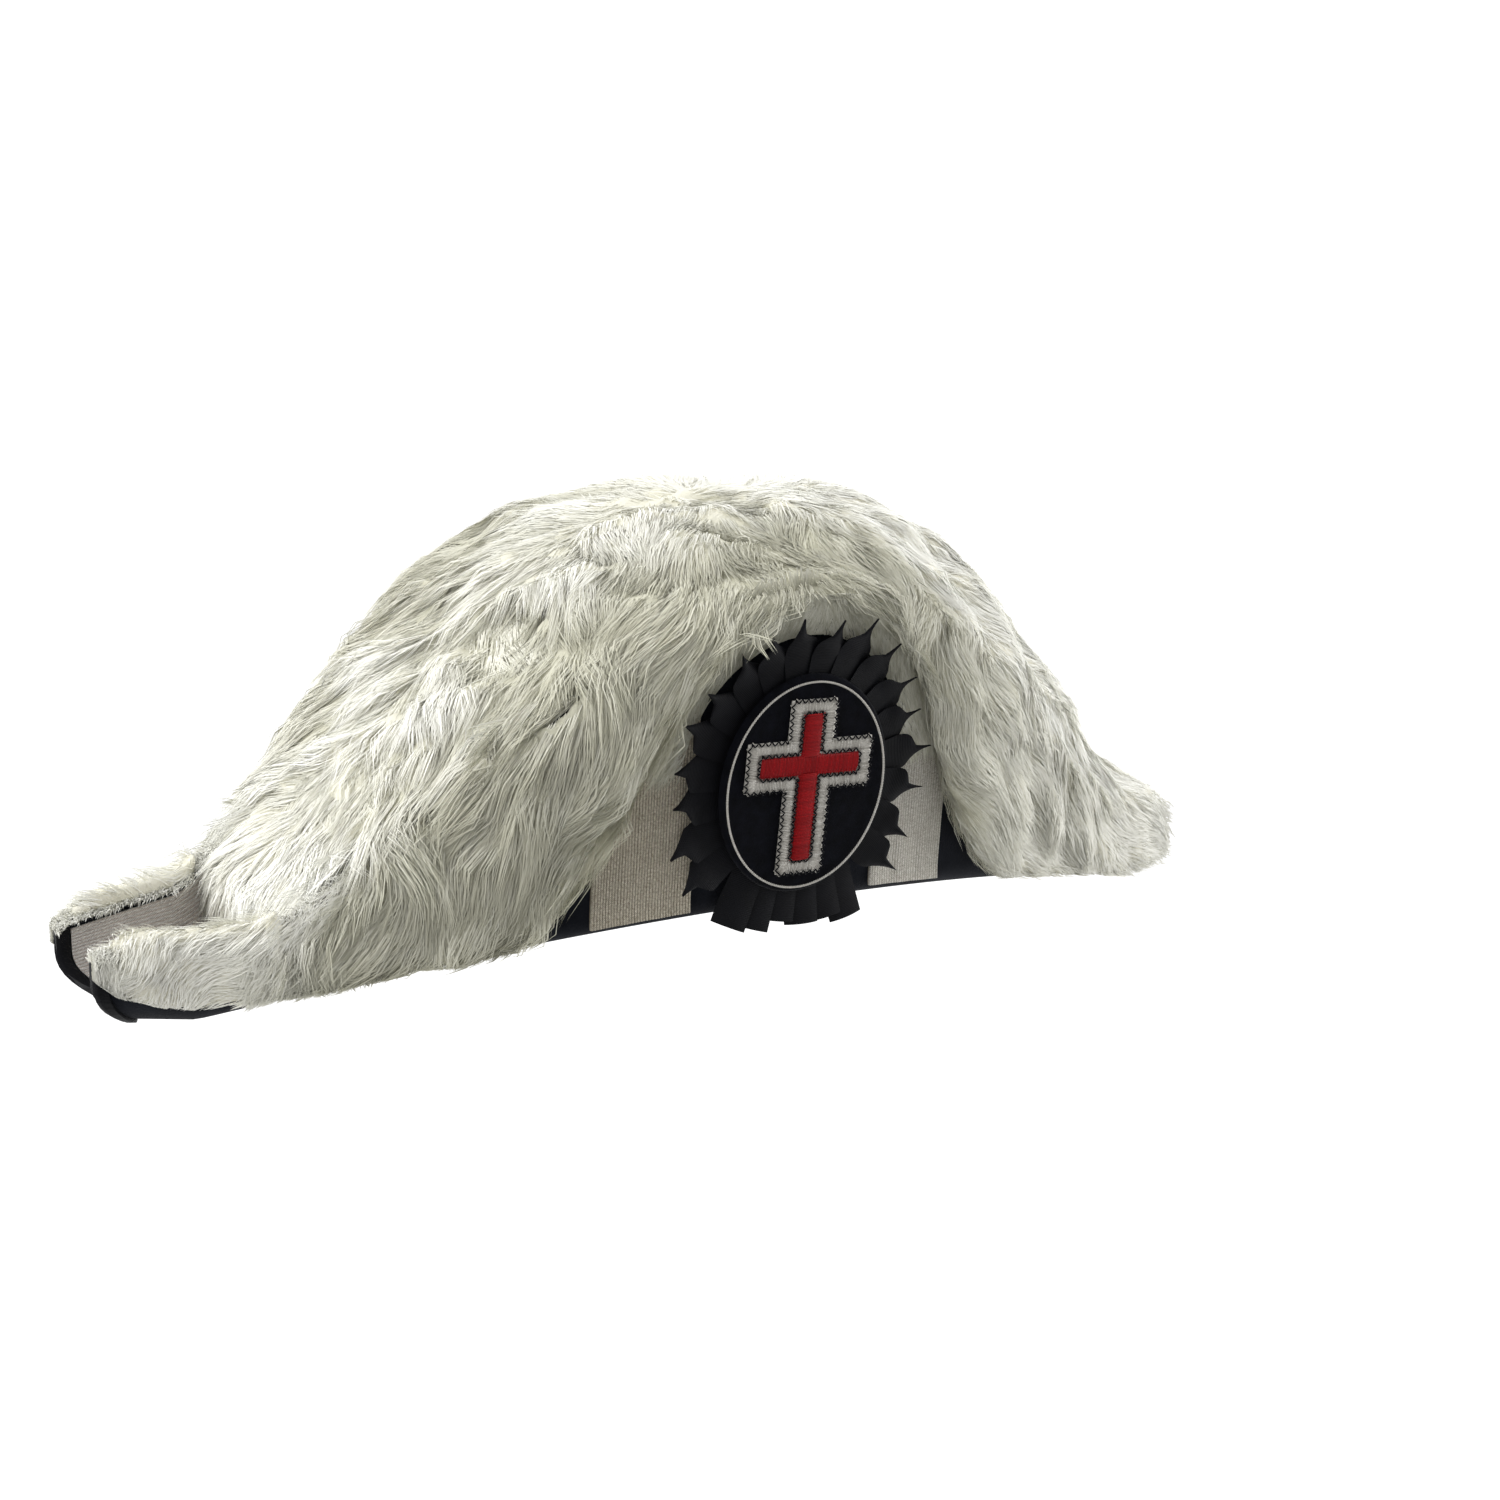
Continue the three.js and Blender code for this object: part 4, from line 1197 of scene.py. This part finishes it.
def combed(points, normals):
    """The way strands lie at these points, along the surface."""
    x, y, z = points.T
    side = np.tanh(y / 14)
    high = smooth((z - flap_top(x) + 15) / 30)
    wish = np.stack([
        column(COMB, "along", x) * (1 + 0.5 * high),
        side * (column(COMB, "out", x) + 0.5 * high),
        -column(COMB, "down", x) * (1 - 0.5 * high),
    ], 1)
    flat = unit(wish - (wish * normals).sum(1, keepdims=True) * normals)
    turn = 0.24 * comb_turn(points) + 0.13 * comb_wisp(points) + 0.05 * comb_fine(points)
    across = np.cross(normals, flat)
    return flat * np.cos(turn)[:, None] + across * np.sin(turn)[:, None]


def keep_clear(points, under, held):
    """Moves points off the floor, out of the felt and away from the face of the rosette."""
    x, y, z = points.T
    side = np.where(y < 0, -1.0, 1.0)
    x = np.clip(x, -FURTHEST[0], FURTHEST[1])
    inside = (z < flap_top(x) + 1) & (z > hem_height(x) - 2) & (x < REAR_REACH + 1) & ~held
    least = wall_out(x, z) + FELT_CLEARANCE
    within = np.where(x < PLUME_MOUTH + 6, least - 6, 0.5 * least)
    y = np.where(inside & (np.abs(y) < least) & (np.abs(y) > within), side * least, y)
    y = np.clip(y, -WIDEST, WIDEST)
    z = np.maximum(z, fur_floor(x))
    points = np.stack([x, y, z], 1)
    local = on_rosette(points)
    ratio = np.hypot(local[:, 0] / PETAL["half_width"], local[:, 1] / PETAL["half_height"])
    limit = np.where(under, 0.85, 1.0)
    close = (y < 0) & (z > hem_height(x))
    near = close & (ratio < limit)
    local[:, :2] *= np.where(near, limit / np.maximum(ratio, 0.2), 1.0)[:, None]
    bow = flap_bow(local[:, 0], local[:, 1])
    lowest = 2.2 + 22 * np.clip(ratio - 0.84, 0, 0.3) - bow
    local[:, 2] = np.where(under, np.minimum(local[:, 2], lowest), local[:, 2])
    return np.where((near | under)[:, None], on_hat(local), points)


def grow_guides(skins, spacing, rng):
    """One guide for each small tuft: points from root to tip, surface normal and kind."""
    points, normals = [], []
    for skin, count, tip in skins:
        at, facing = scatter(skin, count, rng, tip)
        kept = thin_out(at, spacing)
        points.append(at[kept])
        normals.append(facing[kept])
    grounded = sum(len(part) for part in points)
    extra = [rosette_roots(rng)] + [wall_roots(rng, edge) for edge in WALL_EDGES]
    roots = np.concatenate(points + [part[0] for part in extra])
    normals = np.concatenate(normals + [part[1] for part in extra])
    own_way = np.concatenate([part[2] for part in extra])
    length = column(GROWTH, "length", roots[:, 0]) * rng.uniform(0.8, 1.2, len(roots))
    length *= 0.55 + 0.45 * smooth((roots[:, 2] - hem_height(roots[:, 0]) - 4) / 24)
    length[grounded:] = np.concatenate([part[3] for part in extra])
    kind = np.full(len(roots), HELD)
    kind[:grounded] = GROUNDED
    kind[grounded:grounded + len(extra[0][0])] = UNDER
    vertices, faces = [], []
    for skin, _, _ in skins:
        triangles, points, _ = mesh_arrays(skin)
        faces.extend((triangles + len(vertices)).tolist())
        vertices.extend(points.tolist())
    tree = BVHTree.FromPolygons(vertices, faces)
    lift = rng.uniform(0.04, 0.2, len(roots))
    room = column(GROWTH, "depth", roots[:, 0]) + rng.uniform(-1, 1, len(roots))
    line = [roots]
    surface = normals.copy()
    for step in range(GUIDE_STEPS):
        here = line[-1]
        way = combed(here, surface)
        way[grounded:] = own_way + (0, 0, -0.15 * step)
        rise = lift * (1 - step / (GUIDE_STEPS - 0.4)) - 0.1 * step
        move = unit(way + surface * rise[:, None]) * (length / GUIDE_STEPS)[:, None]
        there = here + move
        found = [tree.find_nearest(Vector(p)) for p in there[:grounded]]
        ground = np.array([hit[0] for hit in found])
        facing = np.array([hit[1] for hit in found])
        height = ((there[:grounded] - ground) * facing).sum(1)
        least = 1.3 + 0.7 * step
        wanted = np.clip(height, least, np.maximum(room[:grounded] - 1 + 0.7 * step, least))
        there[:grounded] += facing * np.clip(wanted - height, -9, 6)[:, None]
        surface[:grounded] = unit(surface[:grounded] + 0.8 * facing)
        line.append(there)
    return np.stack(line, 1), normals, kind


def grow_strands(guides, normals, children, radius, rng):
    """Strands round each guide: points (strand, step, 3), normals, and each strand's guide."""
    count = len(guides)
    owner = np.repeat(np.arange(count), children)
    root = guides[owner, 0]
    normal = normals[owner]
    aside = unit(np.cross(normal, rng.normal(size=normal.shape)))
    offset = aside * (radius * np.sqrt(rng.random(len(owner))))[:, None]
    gather = rng.uniform(0.0, 0.35, count)[owner]
    reach = rng.uniform(0.6, 1.1, len(owner))
    stray = rng.random(len(owner)) < 0.03
    shape = guides[owner] - root[:, None]
    curl = rng.normal(size=(len(owner), 3)) * 0.35
    curl[stray] *= 3.5
    points = np.empty((len(owner), GUIDE_STEPS + 1, 3))
    for k, t in enumerate(np.linspace(0, 1, GUIDE_STEPS + 1)):
        gathered = offset * (1 - gather * t)[:, None]
        points[:, k] = root + gathered + shape[:, k] * reach[:, None] + curl * t ** 1.5
    points[:, 0] -= normal * 0.8
    return points, normal, owner


def strand_mesh(name, points, normals, width, values, material):
    """Flat tapering strands as one mesh: two edges that meet in a point at the tip."""
    count, steps = points.shape[:2]
    along = unit(np.gradient(points, axis=1))
    across = unit(np.cross(along, normals[:, None]))
    rng = np.random.default_rng(count)
    roll = rng.normal(0, 0.3, count)[:, None, None]
    side = across * np.cos(roll) + np.cross(along, across) * np.sin(roll)
    half = 0.5 * width[:, None] * np.array(STRAND_TAPER)[None, :]
    left = points[:, :-1] - side[:, :-1] * half[:, :, None]
    right = points[:, :-1] + side[:, :-1] * half[:, :, None]
    pairs = np.stack([left, right], 2).reshape(count, -1, 3)
    vertices = np.concatenate([pairs, points[:, -1:]], 1)
    per = vertices.shape[1]
    base = (np.arange(count) * per)[:, None]
    quads = []
    for k in range(steps - 2):
        quads.append(base + np.array([2 * k, 2 * k + 1, 2 * k + 3, 2 * k + 2]))
    quads = np.stack(quads, 1).reshape(-1, 4)
    tips = base + np.array([2 * steps - 4, 2 * steps - 3, 2 * steps - 2])
    mesh = bpy.data.meshes.new(name)
    mesh.vertices.add(count * per)
    set_places(mesh, vertices.reshape(-1, 3))
    corners = np.concatenate([quads.ravel(), tips.ravel()]).astype(np.int32)
    starts = np.concatenate([np.arange(len(quads)) * 4, len(quads) * 4 + np.arange(count) * 3])
    mesh.loops.add(len(corners))
    mesh.loops.foreach_set("vertex_index", corners)
    mesh.polygons.add(len(starts))
    mesh.polygons.foreach_set("loop_start", starts.astype(np.int32))
    mesh.update(calc_edges=True)
    mesh.validate()
    mesh.materials.append(material)
    smooth_faces(mesh)
    piece = linked_object(name, mesh)
    levels = np.repeat(np.linspace(0, 1, steps)[:-1], 2)
    set_values(piece, "along", np.tile(np.append(levels, 1.0), count))
    for kind, per_strand in values.items():
        set_values(piece, kind, np.repeat(per_strand, per))
    # A map with a small cell for each strand
    across_cells = math.ceil(math.sqrt(count))
    cell = np.stack([np.arange(count) % across_cells, np.arange(count) // across_cells], 1)
    u = np.append(np.tile([0.1, 0.9], steps - 1), 0.5)
    v = np.append(0.1 + 0.8 * levels, 0.9)
    uv = (cell[:, None] + np.stack([u, v], 1)[None]) / across_cells
    set_uv(piece, "OFBake", uv.reshape(-1, 2))
    tilt = rng.normal(0, 0.08, (count, 3))
    shade = unit(normals + tilt)[:, None] + 0.2 * along
    shade = unit(shade)
    shade = np.concatenate([np.repeat(shade[:, :-1], 2, axis=1), shade[:, -1:]], 1)
    mesh.normals_split_custom_set_from_vertices(shade.reshape(-1, 3).tolist())
    return add_piece(piece, "plume")


# Stretches of the plume, each a piece of its own
STRETCHES = [
    dict(name="plume_fur_peak", start=-260, end=-140),
    dict(name="plume_fur_front", start=-140, end=-90),
    dict(name="plume_fur_shoulder", start=-90, end=-45),
    dict(name="plume_fur_centre", start=-45, end=5),
    dict(name="plume_fur_middle", start=5, end=60),
    dict(name="plume_fur_rear", start=60, end=120),
    dict(name="plume_fur_end", start=120, end=260),
]

def make_plume():
    skin = skin_material()
    fur = plume_material()
    rng = np.random.default_rng(77)
    skins = [(make_skin(row, skin), row["roots"], row["tip"]) for row in SKINS]
    guides, normals, kind = grow_guides(skins, TUFT_SPACING, rng)
    points, normal, owner = grow_strands(guides, normals, CHILDREN, TUFT_RADIUS, rng)
    each = np.repeat(kind[owner], points.shape[1])
    points = keep_clear(points.reshape(-1, 3), each == UNDER, each == HELD).reshape(points.shape)
    lock_tint = smooth(0.5 + 0.5 * comb_wisp(guides[:, 0]) + rng.normal(0, 0.2, len(guides)))
    tint = np.clip(0.7 * lock_tint[owner] + 0.3 * rng.random(len(owner)), 0, 1)
    # Share of yellowing and of painted shade for each strand
    yellowing_and_shade_share = np.clip(yellowing_and_shade(points[:, 1]) + rng.normal(0, 0.1, len(guides))[owner], 0, 1)
    width = rng.uniform(0.26, 0.42, len(owner))
    x = points[:, 0, 0]
    for stretch in STRETCHES:
        chosen = (x >= stretch["start"]) & (x < stretch["end"])
        values = dict(tint=tint[chosen], yellowing_and_shade_share=yellowing_and_shade_share[chosen])
        strand_mesh(stretch["name"], points[chosen], normal[chosen], width[chosen], values, fur)


# Stage

# Camera, fitted to the photo: its direction in degrees, its place, its lens and its sensor in millimetres
CAMERA = dict(azimuth=-28.76, elevation=12.869, x=-498.6, y=-976.9, z=323.2, lens=69.37, sensor=36)


def make_camera():
    data = bpy.data.cameras.new("view")
    data.sensor_width = CAMERA["sensor"]
    data.lens = CAMERA["lens"]
    data.clip_start, data.clip_end = 0.05, 40
    camera = linked_object("view", data)
    azimuth, elevation = math.radians(CAMERA["azimuth"]), math.radians(CAMERA["elevation"])
    back = Vector((
        math.sin(azimuth) * math.cos(elevation),
        -math.cos(azimuth) * math.cos(elevation),
        math.sin(elevation),
    ))
    camera.location = Vector(place((CAMERA["x"], CAMERA["y"], CAMERA["z"])))
    camera.rotation_mode = "QUATERNION"
    camera.rotation_quaternion = back.to_track_quat("Z", "Y")
    bpy.context.scene.camera = camera


# Wide soft lamps, two from the left and one from the right, and a sky that is brighter behind the hat
LAMP_ANGLE = math.radians(45)
LAMPS = [
    dict(name="key", towards=(-0.9, -0.15, 0.45), strength=1.55),
    dict(name="edge", towards=(-0.75, 0.6, 0.55), strength=1.1),
    dict(name="fill", towards=(1, -0.1, 0.2), strength=1.6),
]
SKY = dict(axis=(0.45, 0.85, 0.1), dim_at=-0.6, bright_at=0.1, dim=0.44, bright=1.25)


def make_lights():
    for lamp in LAMPS:
        data = bpy.data.lights.new(lamp["name"], "SUN")
        data.energy = lamp["strength"]
        data.angle = LAMP_ANGLE
        light = linked_object(lamp["name"], data)
        light.rotation_mode = "QUATERNION"
        light.rotation_quaternion = Vector(lamp["towards"]).to_track_quat("Z", "Y")
    world = bpy.data.worlds.new("studio")
    world.use_nodes = True
    nodes, links = world.node_tree.nodes, world.node_tree.links
    coordinates = nodes.new("ShaderNodeTexCoord")
    facing = nodes.new("ShaderNodeVectorMath")
    facing.operation = "DOT_PRODUCT"
    facing.inputs[1].default_value = Vector(SKY["axis"]).normalized()
    links.new(coordinates.outputs["Generated"], facing.inputs[0])
    shade = nodes.new("ShaderNodeMapRange")
    shade.inputs["From Min"].default_value = SKY["dim_at"]
    shade.inputs["From Max"].default_value = SKY["bright_at"]
    shade.inputs["To Min"].default_value = SKY["dim"]
    shade.inputs["To Max"].default_value = SKY["bright"]
    links.new(facing.outputs["Value"], shade.inputs["Value"])
    links.new(shade.outputs["Result"], nodes["Background"].inputs["Strength"])
    nodes["Background"].inputs["Color"].default_value = (1.0, 1.0, 1.0, 1)
    bpy.context.scene.world = world
    bpy.context.scene.view_settings.view_transform = "Standard"


make_camera()
make_lights()

felt = felt_material()
# Colours of each lace: its metal, its painted glints, and the painted shade in its grooves
peak_lace = lace_material("lace_peak", (0.97, 0.92, 0.87), (1.0, 0.98, 0.95), (0.62, 0.52, 0.46))
# The front strap's colours are darker than the rear strap's: partly the lace's own darker tone, partly
# painted shade, as the front strap stands in shade
strap_laces = [
    lace_material("lace_front_strap", (0.66, 0.58, 0.43), (0.92, 0.86, 0.72), (0.18, 0.145, 0.10)),
    lace_material("lace_rear_strap", (0.78, 0.73, 0.62), (0.96, 0.94, 0.87), (0.38, 0.34, 0.27)),
]
ribbon = ribbon_material()
velvet = velvet_material()
bullion = thread_material(
    "bullion_silver", (0.42, 0.40, 0.36), (0.86, 0.84, 0.79),
    Metallic=0.3, Roughness=0.5, Specular_IOR_Level=0.3,
)
red = thread_material(
    "satin_red", (0.22, 0.002, 0.004), (0.52, 0.004, 0.009),
    Roughness=0.6, Specular_IOR_Level=0.2,
)

make_crown(felt)
make_flap("felt_left_flap", -1, felt)
make_flap("felt_right_flap", 1, felt)
for name in ("front_peak_floor", "rear_peak_floor"):
    floor_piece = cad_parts[name]
    floor_piece.data.materials.clear()
    floor_piece.data.materials.append(felt)
make_binding(ribbon)
make_peak_lace(peak_lace)
for strap, lace in zip(STRAPS, strap_laces):
    make_strap(strap, lace)
make_petals(ribbon)
make_disc(velvet)
make_cord(bullion)
make_cross(bullion, red, velvet)
make_plume()
